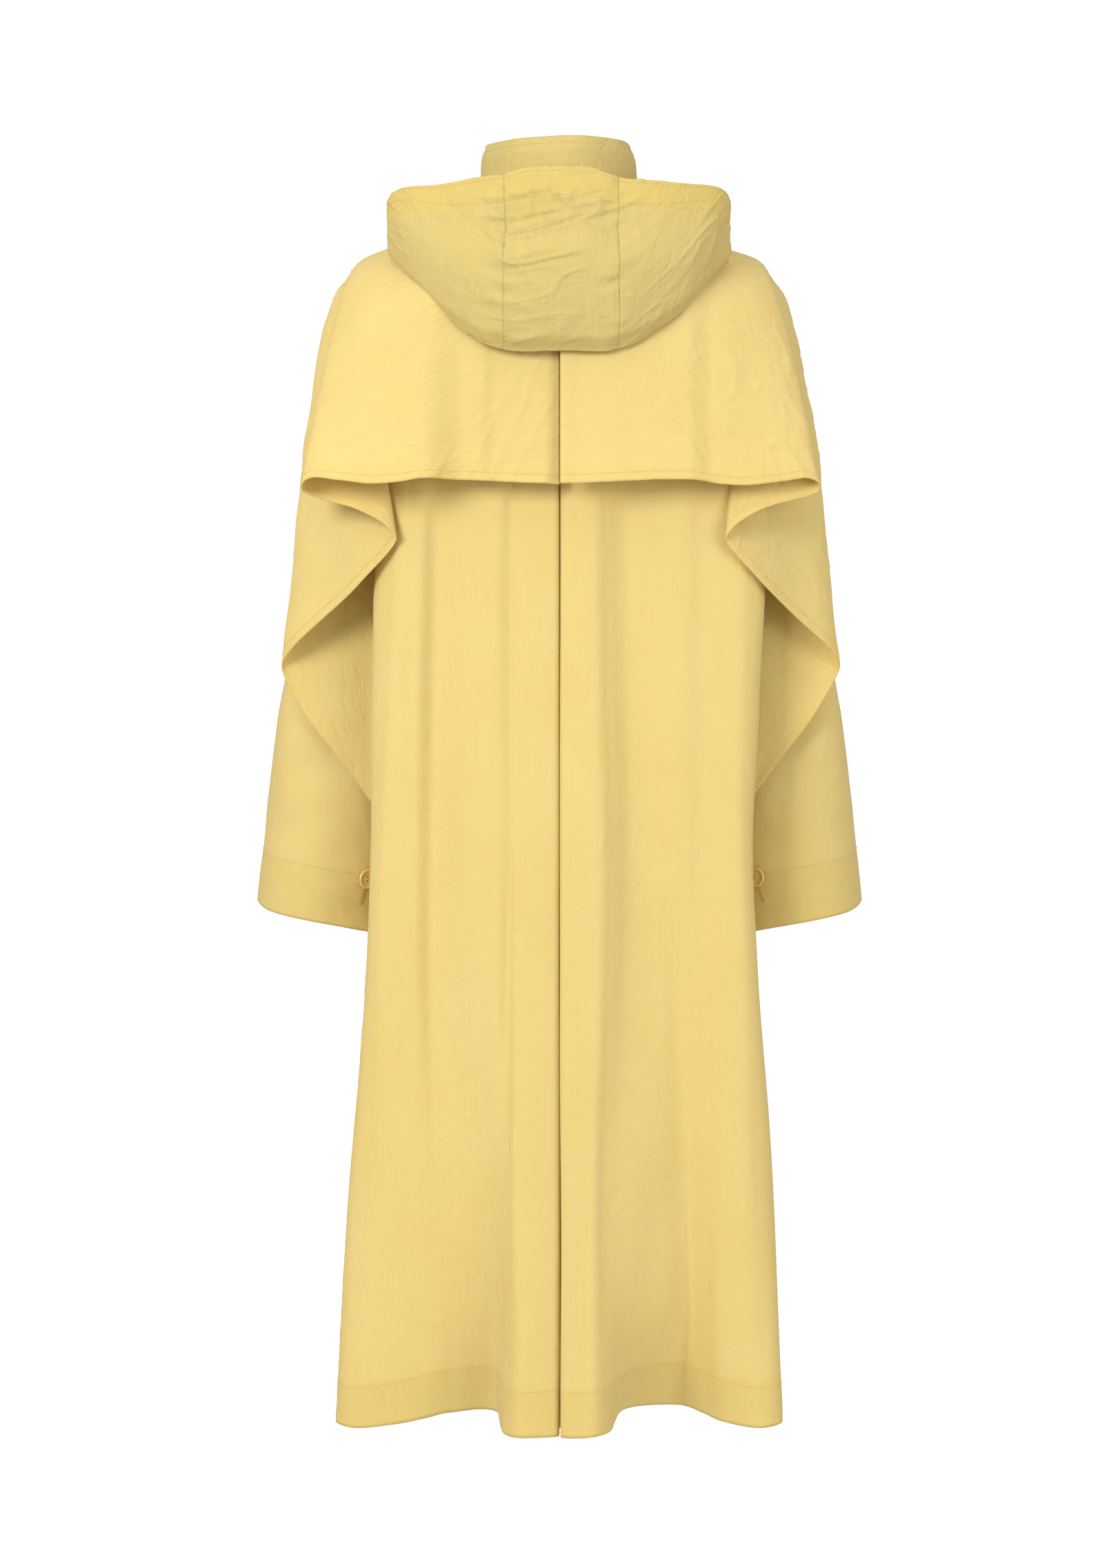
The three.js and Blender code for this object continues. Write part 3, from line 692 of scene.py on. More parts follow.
def twoPlanPoints(chestPlan, hemPlan, columns, armhole, wave, waves):
    # at each height a share of the way from the chest's plan to the hem's, with a number of waves
    # that fade out at both edges and grow towards the hem
    s = np.linspace(0, 1, columns)
    chest = curveThrough(chestPlan, s)
    hem = curveThrough(hemPlan, s)
    top = np.full(columns, bodyShape["chest"]) if armhole is None else bodyTopAt(s, *armhole)
    height = mix(bodyShape["hemHeight"], top[:, None], np.linspace(0, 1, frontShape["rows"])[None, :])
    levels = np.linspace(0, 1.08, 200)
    share = through([k[0] for k in frontFlare], [k[1] for k in frontFlare], levels)
    flare = np.interp(height, levels, share)[..., None]
    plan = mix(chest[:, None], hem[:, None], flare)
    points = np.concatenate([plan, height[..., None]], -1)
    growth = np.clip(1 - height / frontShape["wavesFrom"], 0, 1) ** 1.5
    lift = wave * np.sin(2 * math.pi * waves * s)[:, None] * growth
    lift = lift * (np.sin(math.pi * s) ** 0.5)[:, None]
    return points + gridNormals(points) * lift[..., None]


def sideFrontPoints(word, hand):
    # the side panel swells below the armhole, and its seam edge is moved onto the back panel's,
    # by a shift that fades to nothing across the panel
    side = twoPlanPoints(sideChestPlan, sideHemPlan, frontShape["sideColumns"],
                         frontShape["armhole"], 0.010, 1)
    share = np.linspace(0, 1, len(side))[:, None]
    swell = frontShape["sideSwell"] * smooth(0.0, 0.22, share) * smooth(1.0, 0.5, share)
    swell = swell * smooth(0.960, 1.030, side[..., 2])
    side = dressUp(side + np.stack([swell, 0.4 * swell, 0 * swell], -1), 71 + hand)
    edge = seamEdges[word]
    seam = np.stack([np.interp(side[0, :, 2], edge[:, 2], edge[:, k]) for k in range(3)], -1)
    return mirrored(side + (seam - side[0])[None] * smooth(1, 0, share)[..., None], hand)


def frontPoints(hand):
    # the front panel; the right one rises where it laps over the left one
    front = twoPlanPoints(frontChestPlan, frontHemPlan, frontShape["columns"], None, 0.008, 2)
    front = dressUp(front, 91 + hand)
    if hand > 0:
        over = mix(1.0, 0.25, smooth(0.99, 1.06, front[..., 2]))
        front[..., 1] += lap["rise"] * smooth(lap["from"], lap["to"], front[..., 0]) * over
    return mirrored(front, hand)


for word, hand in sides:
    side = sideFrontPoints(word, hand)
    piece = clothPiece(f"sideFront_{word}", side, bodyCloth, radialOut(side),
                       doubled=bandTint(side[..., 2], bodyShape["hemBand"]))
    finishPiece(piece, "shell", [f"side_front_{word}"])
    front = frontPoints(hand)
    opens = (f"front_{word}", frontShape["blendTop"], frontShape["blendLow"])
    piece = clothPiece(f"front_{word}", front, bodyCloth, radialOut(front),
                       doubled=bandTint(front[..., 2], bodyShape["hemBand"]))
    finishPiece(piece, "shell", [f"front_{word}_panel"], blendWith=opens)
    turn = front[frontShape["facingFrom"]:]
    inner = inset(turn, frontShape["facingDepth"], radialOut(turn))
    facing = clothPiece(f"frontFacing_{word}", inner, innerCloth, radialOut(inner))
    finishPiece(facing, "shell", [f"front_{word}_facing"], blendWith=opens)
    paths = [columnOf(front, share, hand) for share in frontShape["stitches"]]
    rows = stitches(f"frontStitches_{word}", paths, thread)
    finishPiece(rows, "shell", [], blendWith=opens)
print("fronts hung")

# Yoke, neck facing and collar

yoke = {
    "neck": 0.079,  # radius of the neck opening
    "neckY": -0.015,
    "neckHeight": 1.186,
    "drop": 0.025,  # how much lower the neck is in front
    "shoulder": 0.166,
    "shoulderHeight": 1.134,
    "behind": -0.104,
    "ahead": 0.0925,
    "chestHalf": 0.178,
    "square": 3.1,  # how square the chest's plan is: 2 is an ellipse
    "overEdge": -0.019,  # the right front's edge lies past the centre
    "underEdge": 0.0006,
    "columns": 90,
    "rows": 40,
    "frontColumns": 64,
    "frontRows": 44,
    "facing": (slice(24, 66), slice(8, 34)),  # the part of the back yoke that is faced inside
}


def shoulderLine(x):
    # straight down from the neck's height to the shoulder's
    out = np.clip((np.abs(x) - yoke["neck"]) / (yoke["shoulder"] - yoke["neck"]), 0, 1.2)
    return mix(yoke["neckHeight"], yoke["shoulderHeight"], out)


def yokePoints(columns, rows, ahead, hand=0):
    # over the shoulder from the chest line to the neck: a quarter round in each column, from a
    # squared oval at the chest to the neck's circle, or to the ridge beside it
    if hand == 0:
        x = yoke["shoulder"] * np.sin(np.linspace(-1, 1, columns) * math.pi / 2)
    else:
        edge = yoke["overEdge"] if hand > 0 else yoke["underEdge"]
        x = mix(edge, yoke["shoulder"], np.linspace(0, 1, columns))
    reach = np.sqrt(np.maximum(0, yoke["neck"] ** 2 - x ** 2))
    out = (1 - (np.abs(x) / yoke["chestHalf"]) ** yoke["square"]) ** (1 / yoke["square"])
    rise = np.sin(np.linspace(0, 1, rows) * math.pi / 2)[None, :]
    if ahead:
        dip = yoke["drop"] * np.clip(1 - (x / yoke["neck"]) ** 2, 0, 1)
        ridge = yoke["neckY"] + reach
        low = yoke["ahead"] * out - 0.004 * (x / 0.12) ** 2
    else:
        dip = 0 * x
        ridge = yoke["neckY"] - reach
        low = yoke["behind"] * out
    top = shoulderLine(x) - dip
    y = mix(ridge[:, None], low[:, None], np.sqrt(np.clip(1 - rise ** 2, 0, 1)))
    height = mix(bodyShape["chest"] - 0.004, top[:, None], rise)
    across = np.broadcast_to(x[:, None], y.shape) * (1 if hand == 0 else hand)
    return np.stack([across, y, height], -1)


underBack = np.array([0.0, 0.03, 1.0])  # a point inside the shoulders, to tell outside from inside
underFront = np.array([0.0, -0.03, 1.0])
backYoke = yokePoints(yoke["columns"], yoke["rows"], False)
piece = clothPiece("yokeBack", backYoke, bodyCloth, backYoke - underBack)
finishPiece(piece, "shell", ["yoke_back"])
faced = backYoke[yoke["facing"]]
inner = inset(faced, bodyShape["facingDepth"], faced - underBack)
piece = clothPiece("neckFacing", inner, innerCloth, inner - underBack)
finishPiece(piece, "shell", ["neck_facing"])
for word, hand in sides:
    frontYoke = yokePoints(yoke["frontColumns"], yoke["frontRows"], True, hand)
    frontYoke = dressUp(frontYoke, 131 + hand, 0.0012)
    if hand > 0:
        frontYoke[..., 1] += mix(0.0012, 0.0045, smooth(0.050, 0.020, frontYoke[..., 0]))
    piece = clothPiece(f"yokeFront_{word}", frontYoke, bodyCloth, frontYoke - underFront)
    finishPiece(piece, "shell", [f"yoke_front_{word}"])
    stitchRows.append(rowOf(frontYoke, 0.10, -hand))

collar = {
    "radius": 0.0785,
    "height": 0.0690,
    "lean": 0.0035,  # how much narrower it is at the top
    "gap": 11,  # degrees from the middle of the front to each end
    "corner": 0.014,
    "cornerTurn": 9,  # degrees over which the corner is rounded
    "thickness": 0.0026,
    "outerShare": 0.45,  # share of the thickness that the outer cloth takes
    "columns": 190,
    "rows": 34,
}


def collarPoints():
    # a ring that narrows upwards, open at the front: its radius and height take sines of the
    # angle as soft waves, and its top corners are quarter circles
    widest = 180 - collar["gap"]
    angle = np.radians(np.linspace(-widest, widest, collar["columns"]))[:, None]
    v = np.linspace(0, 1, collar["rows"])[None, :]
    ahead = np.maximum(0, -np.cos(angle))
    fromEnd = np.clip((widest - np.abs(np.degrees(angle))) / collar["cornerTurn"], 0, 1)
    cut = collar["corner"] * (1 - np.sqrt(np.clip(1 - (1 - fromEnd) ** 2, 0, 1)))
    base = yoke["neckHeight"] - 0.003 - yoke["drop"] * ahead
    swell = 0.0016 * np.sin(3.1 * angle + 0.7) + 0.0010 * np.sin(7.3 * angle)
    radius = collar["radius"] - collar["lean"] * v + swell * v - 0.0042 * smooth(0.72, 1.0, v) ** 2
    sag = (0.0012 * np.sin(2.3 * angle + 1.1) + 0.0050 * np.sin(angle) ** 2) * v
    height = base + (collar["height"] - cut) * v + sag
    return np.stack([radius * np.sin(angle), yoke["neckY"] - radius * np.cos(angle), height], -1)


ring = dressUp(collarPoints(), 151, 0.0008, 0.0006, True)
ringOut = radialOut(ring, (0.0, yoke["neckY"]))
# the collar stand takes the hood's darker yellow, painted shade
stand = clothPiece("collarStand", ring, hoodClothShaded, ringOut, collar["thickness"] * collar["outerShare"])
finishPiece(stand, "shell", ["collar_outer"])
inner = inset(ring, collar["thickness"] * (1 - collar["outerShare"]), ringOut)
lining = clothPiece("collarLining", inner, innerCloth, radialOut(inner, (0.0, yoke["neckY"])))
finishPiece(lining, "shell", ["collar_lining"])
stitchRows.append(rowOf(ring, 0.90, 1))
print("yoke and collar made")

# Cape: one sheet a side, from the centre slit over the back and down in folds over the sleeve

cape = {
    "columns": 330,
    "rows": 120,
    "over": 0.36,  # share of the run that goes over the shoulder
    "ease": 0.03,  # keeps the top of a bulging column from lying flat
    "foldColumns": 118,  # the columns over the back, which the soft folds move
    "backColumns": 100,  # the columns that surely face backwards
    "hemFold": (0.013, 0.0115),  # distances from the hem between which the doubled edge ends
    "hemTint": 0.12,
    "stitch": 0.03,  # share of a column's height
}
# hem from the centre slit outwards: across, forward, height, and how its column runs up:
# the top's across, forward and height, how far back it lies at the shoulder blade, and the power
# by which it bulges
capeHem = [
    (0.0002, -0.1350, 0.912, 0.0002, -0.096, 1.190, -0.113, 1.00),
    (0.045, -0.1365, 0.914, 0.036, -0.088, 1.189, -0.113, 1.00),
    (0.090, -0.1360, 0.9160, 0.070, -0.055, 1.186, -0.111, 1.00),
    (0.128, -0.1345, 0.9160, 0.104, -0.012, 1.176, -0.107, 0.98),
    (0.152, -0.1330, 0.9125, 0.130, -0.010, 1.168, -0.102, 0.92),
    (0.180, -0.1300, 0.9115, 0.154, -0.010, 1.159, -0.096, 0.86),
    (0.212, -0.1250, 0.9155, 0.176, -0.010, 1.152, -0.086, 0.78),
    (0.234, -0.1200, 0.9185, 0.190, -0.010, 1.147, -0.074, 0.70),
    (0.2455, -0.1150, 0.9140, 0.196, -0.010, 1.143, -0.066, 0.66),
    (0.2440, -0.1100, 0.9060, 0.199, -0.009, 1.141, -0.060, 0.66),
    (0.222, -0.1120, 0.8990, 0.201, -0.008, 1.139, -0.056, 0.70),
    (0.196, -0.1160, 0.8905, 0.203, -0.007, 1.137, -0.053, 0.74),
    (0.172, -0.1190, 0.8775, 0.205, -0.006, 1.135, -0.051, 0.76),
    (0.1605, -0.1200, 0.8660, 0.206, -0.005, 1.133, -0.048, 0.78),
    (0.1595, -0.1175, 0.8590, 0.207, -0.004, 1.131, -0.045, 0.78),
    (0.169, -0.1145, 0.8460, 0.208, -0.003, 1.130, -0.043, 0.76),
    (0.196, -0.1040, 0.8180, 0.210, -0.001, 1.128, -0.039, 0.68),
    (0.226, -0.0870, 0.7910, 0.212, 0.002, 1.125, -0.034, 0.58),
    (0.255, -0.0720, 0.7660, 0.216, 0.006, 1.121, -0.027, 0.52),
    (0.2695, -0.0590, 0.7500, 0.2195, 0.010, 1.116, -0.020, 0.50),
    (0.2720, -0.0510, 0.7400, 0.2210, 0.013, 1.111, -0.016, 0.50),
    (0.264, -0.0475, 0.7220, 0.2205, 0.014, 1.107, -0.022, 0.52),
    (0.244, -0.0465, 0.6885, 0.216, 0.014, 1.105, -0.030, 0.58),
    (0.2205, -0.0465, 0.6585, 0.214, 0.014, 1.100, -0.036, 0.64),
    (0.200, -0.0470, 0.6315, 0.212, 0.014, 1.095, -0.038, 0.70),
    (0.185, -0.0460, 0.6110, 0.202, 0.014, 1.090, -0.038, 0.74),
    (0.1755, -0.0440, 0.6000, 0.189, 0.014, 1.086, -0.038, 0.80),
]
# soft folds in the cape that deepen towards its hem: where they start and end, and their depth
capeFolds = {
    "left": [(0.090, 0.132, 0.0170), (0.060, 0.076, 0.0040)],
    "right": [(0.146, 0.122, 0.0085), (0.078, 0.040, 0.0030)],
}


def capePoints(seed, folds):
    # each column hangs from the neck or shoulder to its own place on the hem: across follows a
    # power of the run from the top, forward a quarter round over the shoulder and then a power,
    # and the soft folds push it back by the smooth S between two distances from the centre
    c = curveThrough(capeHem, np.linspace(0, 1, cape["columns"]))[:, None, :]
    t = np.linspace(1, 0, cape["rows"])[None, :]
    ease = cape["ease"]
    drop = (t + ease) ** c[..., 7] - ease ** c[..., 7]
    drop = drop / ((1 + ease) ** c[..., 7] - ease ** c[..., 7])
    x = c[..., 3] + (c[..., 0] - c[..., 3]) * drop
    over = np.clip(t / cape["over"], 0, 1)
    blade = c[..., 4] + (c[..., 6] - c[..., 4]) * np.sqrt(np.clip(1 - (1 - over) ** 2, 0, 1))
    y = blade + (c[..., 1] - c[..., 6]) * t ** 1.5
    height = c[..., 5] + (c[..., 2] - c[..., 5]) * t
    overBack = (np.arange(cape["columns"]) < cape["foldColumns"])[:, None]
    for start, end, depth in folds:
        y = y - depth * smooth(start, end, x) * t ** 0.55 * overBack
    points = np.stack([x, y, height], -1)
    return dressUp(points, seed, 0.0026, 0.0010, True)


for word, hand in sides:
    points = mirrored(capePoints(171 if hand < 0 else 201, capeFolds[word]), hand)
    outward = np.zeros_like(points)
    outward[:cape["backColumns"]] = backwards
    u, v = clothLengths(points)
    fold = smooth(*cape["hemFold"], v)
    piece = clothPiece(f"cape_{word}", points, capeCloth, outward, doubled=fold * cape["hemTint"])
    toSleeve = (f"sleeve_{word}", (hand * 0.150, 0.0, 1.05), (hand * 0.196, 0.0, 1.05))
    nodes = [f"cape_back_{word}", f"cape_drape_{word}"]
    finishPiece(piece, "shell", nodes, toSleeve)
    rows = stitches(f"capeStitches_{word}", [rowOf(points, cape["stitch"], hand)], thread)
    finishPiece(rows, "shell", [], blendWith=toSleeve)
print("cape draped")

# Sleeves: wide tubes, closed over the shoulder

sleeve = {
    "columns": 120,
    "rows": 190,
    "cuff": 0.4902,  # height of the cuff in the middle of its slant
    "cuffSlant": 0.0144,
    "innerAtArmpit": 0.153,  # the inner side's distance from the centre
    "innerAtCuff": 0.156,
    "innerAtTop": 0.158,
    "facing": 0.054,
    "facingRows": 18,
    "facingDepth": 0.0028,
    "facingTint": 0.2,
    "stitchRow": 16.0,
    "elbow": 0.600,  # height about which the sleeve is most rumpled
}
# height, outermost point, half depth, middle of the depth
sleeveStations = [
    (0.490, 0.3050, 0.0745, 0.040), (0.550, 0.2990, 0.073, 0.0385),
    (0.610, 0.2925, 0.072, 0.037), (0.700, 0.2800, 0.069, 0.035),
    (0.780, 0.2640, 0.066, 0.033), (0.925, 0.2490, 0.058, 0.030), (1.010, 0.2370, 0.054, 0.022),
    (1.066, 0.2250, 0.048, 0.014), (1.108, 0.2080, 0.036, 0.004), (1.132, 0.1900, 0.018, -0.003),
]


def sleevePoints(seed):
    # a squared oval in each row, whose sine and cosine take a power: its inner side stands still
    # while its outer side narrows to the shoulder; rumples move it along its normals
    angle = np.radians(np.linspace(0, 360, sleeve["columns"], endpoint=False) - 180)[:, None]
    inward = smooth(0.6, 0.985, -np.cos(angle))
    top = mix(1.130, 0.955, inward)
    cuff = sleeve["cuff"] + sleeve["cuffSlant"] * np.cos(angle)
    cuff = cuff + 0.0085 * np.maximum(0, np.cos(angle)) ** 8
    height = mix(cuff, top, np.linspace(0, 1, sleeve["rows"])[None, :])
    outer, depth, centre = straightThrough(sleeveStations, height)
    below = np.clip((bodyShape["armpit"] - height) / 0.435, 0, 1)
    inner = mix(sleeve["innerAtArmpit"], sleeve["innerAtCuff"], below)
    inner = mix(inner, sleeve["innerAtTop"], smooth(1.0, 1.12, height))
    half = (outer - inner) / 2
    power = 2 / mix(2.1, 3.4, smooth(0.57, 0.72, height))
    x = inner + half + half * np.sign(np.cos(angle)) * np.abs(np.cos(angle)) ** power
    y = centre + depth * np.sign(np.sin(angle)) * np.abs(np.sin(angle)) ** power
    points = np.stack([x, y, height], -1)
    closed = np.concatenate([points, points[:1]], 0)
    u, v = clothLengths(closed)
    normals = gridNormals(closed)
    elbow = smooth(0.24, 0.0, np.abs(closed[..., 2] - sleeve["elbow"]))
    a, b = turned(u, v, 58)
    folds = 0.0034 * elbow * wavy(a, b, 0.040, 3.2, seed)
    folds = folds + 0.0024 * wavy(u, v, 0.070, 3.5, seed + 1)
    a, b = turned(u, v, -35)
    folds = folds + 0.0006 * crease(a, b, 0.020, 2.4, seed + 2)
    outside = np.concatenate([np.cos(angle), np.cos(angle[:1])])
    seam = smooth(0.0, 0.06, u) * smooth(0.0, 0.06, u[-1:] - u)
    seam = seam * mix(1.0, 0.25, smooth(0.6, 0.95, outside))
    return (closed + normals * (folds * seam)[..., None])[:-1]


sleeveGrids = {}
for word, hand in sides:
    points = mirrored(sleevePoints(231 if hand < 0 else 261), hand)
    sleeveGrids[word] = points
    centre = points.mean(axis=0, keepdims=True)
    aboveBand = points[..., 2] - points[:, :1, 2] - sleeve["facing"]
    band = smooth(bodyShape["bandEdge"], -bodyShape["bandEdge"], aboveBand) * sleeve["facingTint"]
    piece = clothPiece(f"sleeve_{word}", points, bodyCloth, points - centre, doubled=band, wraps=True)
    nodes = [f"sleeve_outer_{word}", f"sleeve_under_{word}"]
    finishPiece(piece, f"sleeve_{word}", nodes)
    low = points[:, :sleeve["facingRows"]]
    lowCentre = centre[:, :sleeve["facingRows"]]
    inner = inset(low, sleeve["facingDepth"], low - lowCentre)
    piece = clothPiece(f"cuffFacing_{word}", inner, innerCloth, inner - lowCentre, wraps=True)
    finishPiece(piece, f"sleeve_{word}", [f"cuff_facing_{word}"])
    line, normal = rowOf(points, sleeve["stitchRow"] / (sleeve["rows"] - 1), hand)
    closed = (np.vstack([line, line[:1]]), np.vstack([normal, normal[:1]]))
    rows = stitches(f"cuffStitches_{word}", [closed], thread)
    finishPiece(rows, f"sleeve_{word}", [])
print("sleeves set in")

# Hood: three outer panels, an inner one and a turned edge

hood = {
    "half": 0.1655,  # half its width
    "seam": 0.055,  # distance of each seam from the middle
    "bottom": 1.036,
    "rim": 1.2125,
    "reach": 0.127,  # how far behind the coat's middle it lies
    "belly": 0.034,  # how much further its middle stands off
    "side": 0.062,
    "facing": 0.029,  # width of the turned edge
    "columns": 240,
    "rows": 130,
    "innerColumns": 120,
    "innerRows": 60,
    "seamRow": 60,  # the row in which the panels' columns are parted
    "thickness": 0.0012,
    "edgeTint": 0.35,
    "stitch": 0.975,  # share of the height
}
# height of the lower edge and of the rim at distances from the middle
hoodBottom = [(0, 1.0385), (0.055, 1.0410), (0.070, 1.0465), (0.092, 1.0620), (0.117, 1.0820),
              (0.130, 1.0960), (0.154, 1.1245), (0.165, 1.1390)]
hoodRim = [(0, 1.2145), (0.030, 1.2125), (0.056, 1.2050), (0.080, 1.2025), (0.125, 1.2005),
           (0.145, 1.2015), (0.156, 1.1995), (0.162, 1.1950), (0.1655, 1.1880)]


def hoodEdge(stations, x):
    # an edge's height at each distance from the middle
    return through([k[0] for k in stations], [k[1] for k in stations], np.abs(x[:, 0]))[:, None]


def hoodPoints(columns, rows):
    # a pouch between its two edges: its belly is a part of a sine wave from bottom to rim, and
    # from side to side it is an ellipse
    crowd = 1.45  # sets the columns closer together at the sides
    w = np.linspace(-1, 1, columns)[:, None]
    x = hood["half"] * np.sin(w * crowd) / math.sin(crowd)
    v = np.linspace(0, 1, rows)[None, :]
    bottom = hoodEdge(hoodBottom, x)
    rim = hoodEdge(hoodRim, x)
    bulge = hood["reach"] + hood["belly"] * np.sin(math.pi * (0.16 + 0.72 * v))
    tuck = 0.007 * smooth(0.08, 0.0, v)
    roundness = np.sqrt(np.clip(1 - (x / (hood["half"] + 0.004)) ** 2, 0, 1))
    y = -mix(hood["side"], bulge - tuck, roundness)
    return np.stack([x + 0 * v, y, mix(bottom, rim, v)], -1)


def hoodRumples(points):
    # heights along the normals: puckers that fade by a bell curve from the two seams and from the
    # turned edge, grooves in both, slanting creases between, a hollow under the edge
    u, v = clothLengths(points)
    x = points[..., 0]
    fromRim = v[:, -1:] - v
    nearSeam = np.exp(-((np.abs(x) - hood["seam"]) / 0.016) ** 2)
    nearFold = np.exp(-((fromRim - hood["facing"]) / 0.012) ** 2)
    pucker = wavy(v, u, 0.009, 2.6, 301) * 0.0022 * nearSeam
    pucker = pucker + wavy(v, u, 0.010, 2.2, 302) * 0.0012 * nearFold
    a, b = turned(u, v, 12)
    slant = crease(b, a, 0.017, 3.0, 303) * 0.0030 + crease(b, a, 0.011, 2.4, 304) * 0.0016
    a, b = turned(u, v, -38)
    slant = slant + crease(b, a, 0.024, 3.2, 307) * 0.0020
    middle = smooth(0.105, 0.03, np.abs(x)) * smooth(0.125, 0.085, fromRim)
    middle = middle * smooth(0.012, 0.035, fromRim)
    slant = slant * smooth(-0.35, 0.45, wavy(u, v, 0.06, 1.0, 305)) * (0.30 + 0.95 * middle)
    groove = -0.0004 * np.exp(-((np.abs(x) - hood["seam"]) / 0.0022) ** 2)
    groove = groove - 0.0006 * np.exp(-((fromRim - hood["facing"]) / 0.0018) ** 2)
    soft = 0.0032 * wavy(u, v, 0.055, 1.2, 306)
    hollow = -0.009 * np.exp(-((fromRim - 0.050) / 0.022) ** 2)
    hollow = hollow * smooth(0.9, 0.2, np.abs(x) / hood["half"])
    return pucker + slant + groove + soft + hollow


wholeHood = hoodPoints(hood["columns"], hood["rows"])
normals = gridNormals(wholeHood)
outSign = -1 if normals[hood["columns"] // 2, hood["seamRow"], 1] > 0 else 1
rumpled = wholeHood + normals * outSign * hoodRumples(wholeHood)[..., None]
hoodOut = np.broadcast_to(backwards, rumpled.shape)
across = rumpled[:, hood["seamRow"], 0]
leftEnd = int(np.searchsorted(across, -hood["seam"]))
rightStart = int(np.searchsorted(across, hood["seam"]))
panels = {
    "hoodPanel_left": (slice(0, leftEnd + 1), "hood_left_panel"),
    "hoodPanel_centre": (slice(leftEnd, rightStart + 1), "hood_centre_panel"),
    "hoodPanel_right": (slice(rightStart, hood["columns"]), "hood_right_panel"),
}
u, v = clothLengths(rumpled)
edge = smooth(hood["facing"] + 0.001, hood["facing"] - 0.001, v[:, -1:] - v) * hood["edgeTint"]
for name, (columns, node) in panels.items():
    part = rumpled[columns]
    piece = clothPiece(name, part, hoodClothShaded, hoodOut[columns], hood["thickness"], doubled=edge[columns])
    finishPiece(piece, "hood", [node])


def hoodInnerPoints():
    # leaves the outer panels' lower edge, lies on the cape by the smooth S, and ends at the neck
    outer = hoodPoints(hood["innerColumns"], 2)[:, 0]
    x = outer[:, 0:1] * 0.985
    v = np.linspace(0, 1, hood["innerRows"])[None, :]
    top = np.minimum(shoulderLine(x) + 0.004, 1.188) - 0.020 * smooth(0.02, 0.08, np.abs(x))
    height = mix(outer[:, 2:3] + 0.001, top, v)
    lie = mix(-0.120, -0.070, (np.abs(x) / hood["half"]) ** 2.2)
    lie = lie + 0.014 * v * smooth(0.0, 0.06, np.abs(x))
    y = mix(outer[:, 1:2] + 0.0015, lie, smooth(0.0, 0.35, v))
    y = mix(y, -0.1005 + 0 * y, smooth(0.6, 1.0, v) * smooth(0.06, 0.02, np.abs(x)))
    return np.stack([x + 0 * v, y, height], -1)


innerHood = hoodInnerPoints()
piece = clothPiece("hoodInner", innerHood, innerCloth, np.broadcast_to(backwards, innerHood.shape))
finishPiece(piece, "hood", ["hood_inner_panel"])
foldShare = 1 - hood["facing"] / (hood["rim"] - hood["bottom"])
paths = [rowOf(rumpled, share, outSign) for share in (foldShare, hood["stitch"])]
finishPiece(stitches("hoodStitches", paths, thread), "hood", [])
print("hood laid open")

# Buttons, their bound buttonholes, and the small parts that stay as they are

button = {
    "thickness": 0.0034,
    "hole": 0.0011,  # radius of a sewing hole
    "reach": 0.0024,  # distance of the holes from the button's middle
    "diagonal": 0.707,  # share of the reach along each side of the holes' square
    "lift": 0.0016,  # length of the thread shank under the button
    "steps": 72,
    "profileSteps": 40,
    "place": {"left": (-0.1897, 0.5345), "right": (0.1925, 0.5365)},  # across and height
    "thread": 0.00022,
    "threadFloor": 0.0018,
    "threadArch": 0.0009,
}
buttonhole = {
    "head": (0.002, 0, -0.0088),  # from the button's middle to the slot's upper end
    "down": (0.0070, 0, -0.0157),  # from there to its lower end
    "under": 0.0011,  # how far below the button's underside it lies
    "halfWidth": 0.0009,
    "eye": 0.9,  # how much wider the round eye is
    "eyeAt": 0.86,  # share of the way down at which it lies
    "thread": 0.00038,
    "steps": 90,
}
# from the middle of the underside round the rim to the middle of the dished top
buttonProfile = [
    (0.0, 0.0), (0.0088, 0.0), (0.0096, 0.0004), (0.0100, 0.0012), (0.0100, 0.0022),
    (0.0096, 0.0030), (0.0088, 0.0034), (0.0080, 0.0032), (0.0074, 0.0026), (0.0068, 0.0023),
    (0.0050, 0.0021), (0.0, 0.0020),
]


def turnTo(axis):
    # columns are the across, up and outward directions of something that faces along axis, each
    # the cross product of the others
    out = axis / np.linalg.norm(axis)
    right = np.cross([0.0, 0.0, 1.0], out)
    right = right / np.linalg.norm(right)
    return np.stack([right, np.cross(out, right), out], -1)


def lathe(profile, steps):
    # turns a profile round the axis by sine and cosine, closing it in a point at both ends
    profile = curveThrough(profile, np.linspace(0, 1, button["profileSteps"]))
    angle = np.linspace(0, 2 * math.pi, steps, endpoint=False)[:, None]
    ringPoints = profile[None, 1:-1]
    x = ringPoints[..., 0] * np.cos(angle)
    y = ringPoints[..., 0] * np.sin(angle)
    body = np.stack([x, y, np.broadcast_to(ringPoints[..., 1], x.shape)], -1)
    rows = body.shape[1]
    here = np.arange(steps) * rows
    after = np.roll(here, -1)
    bottom = np.full(steps, steps * rows)
    lower = np.stack([bottom, after, here], -1)
    upper = np.stack([bottom + 1, here + rows - 1, after + rows - 1], -1)
    caps = np.stack([lower, upper], 1).reshape(-1, 3)
    ends = np.array([[0, 0, profile[0, 1]], [0, 0, profile[-1, 1]]])
    return np.vstack([body.reshape(-1, 3), ends]), gridFaces(steps, rows, True).tolist() + caps.tolist()


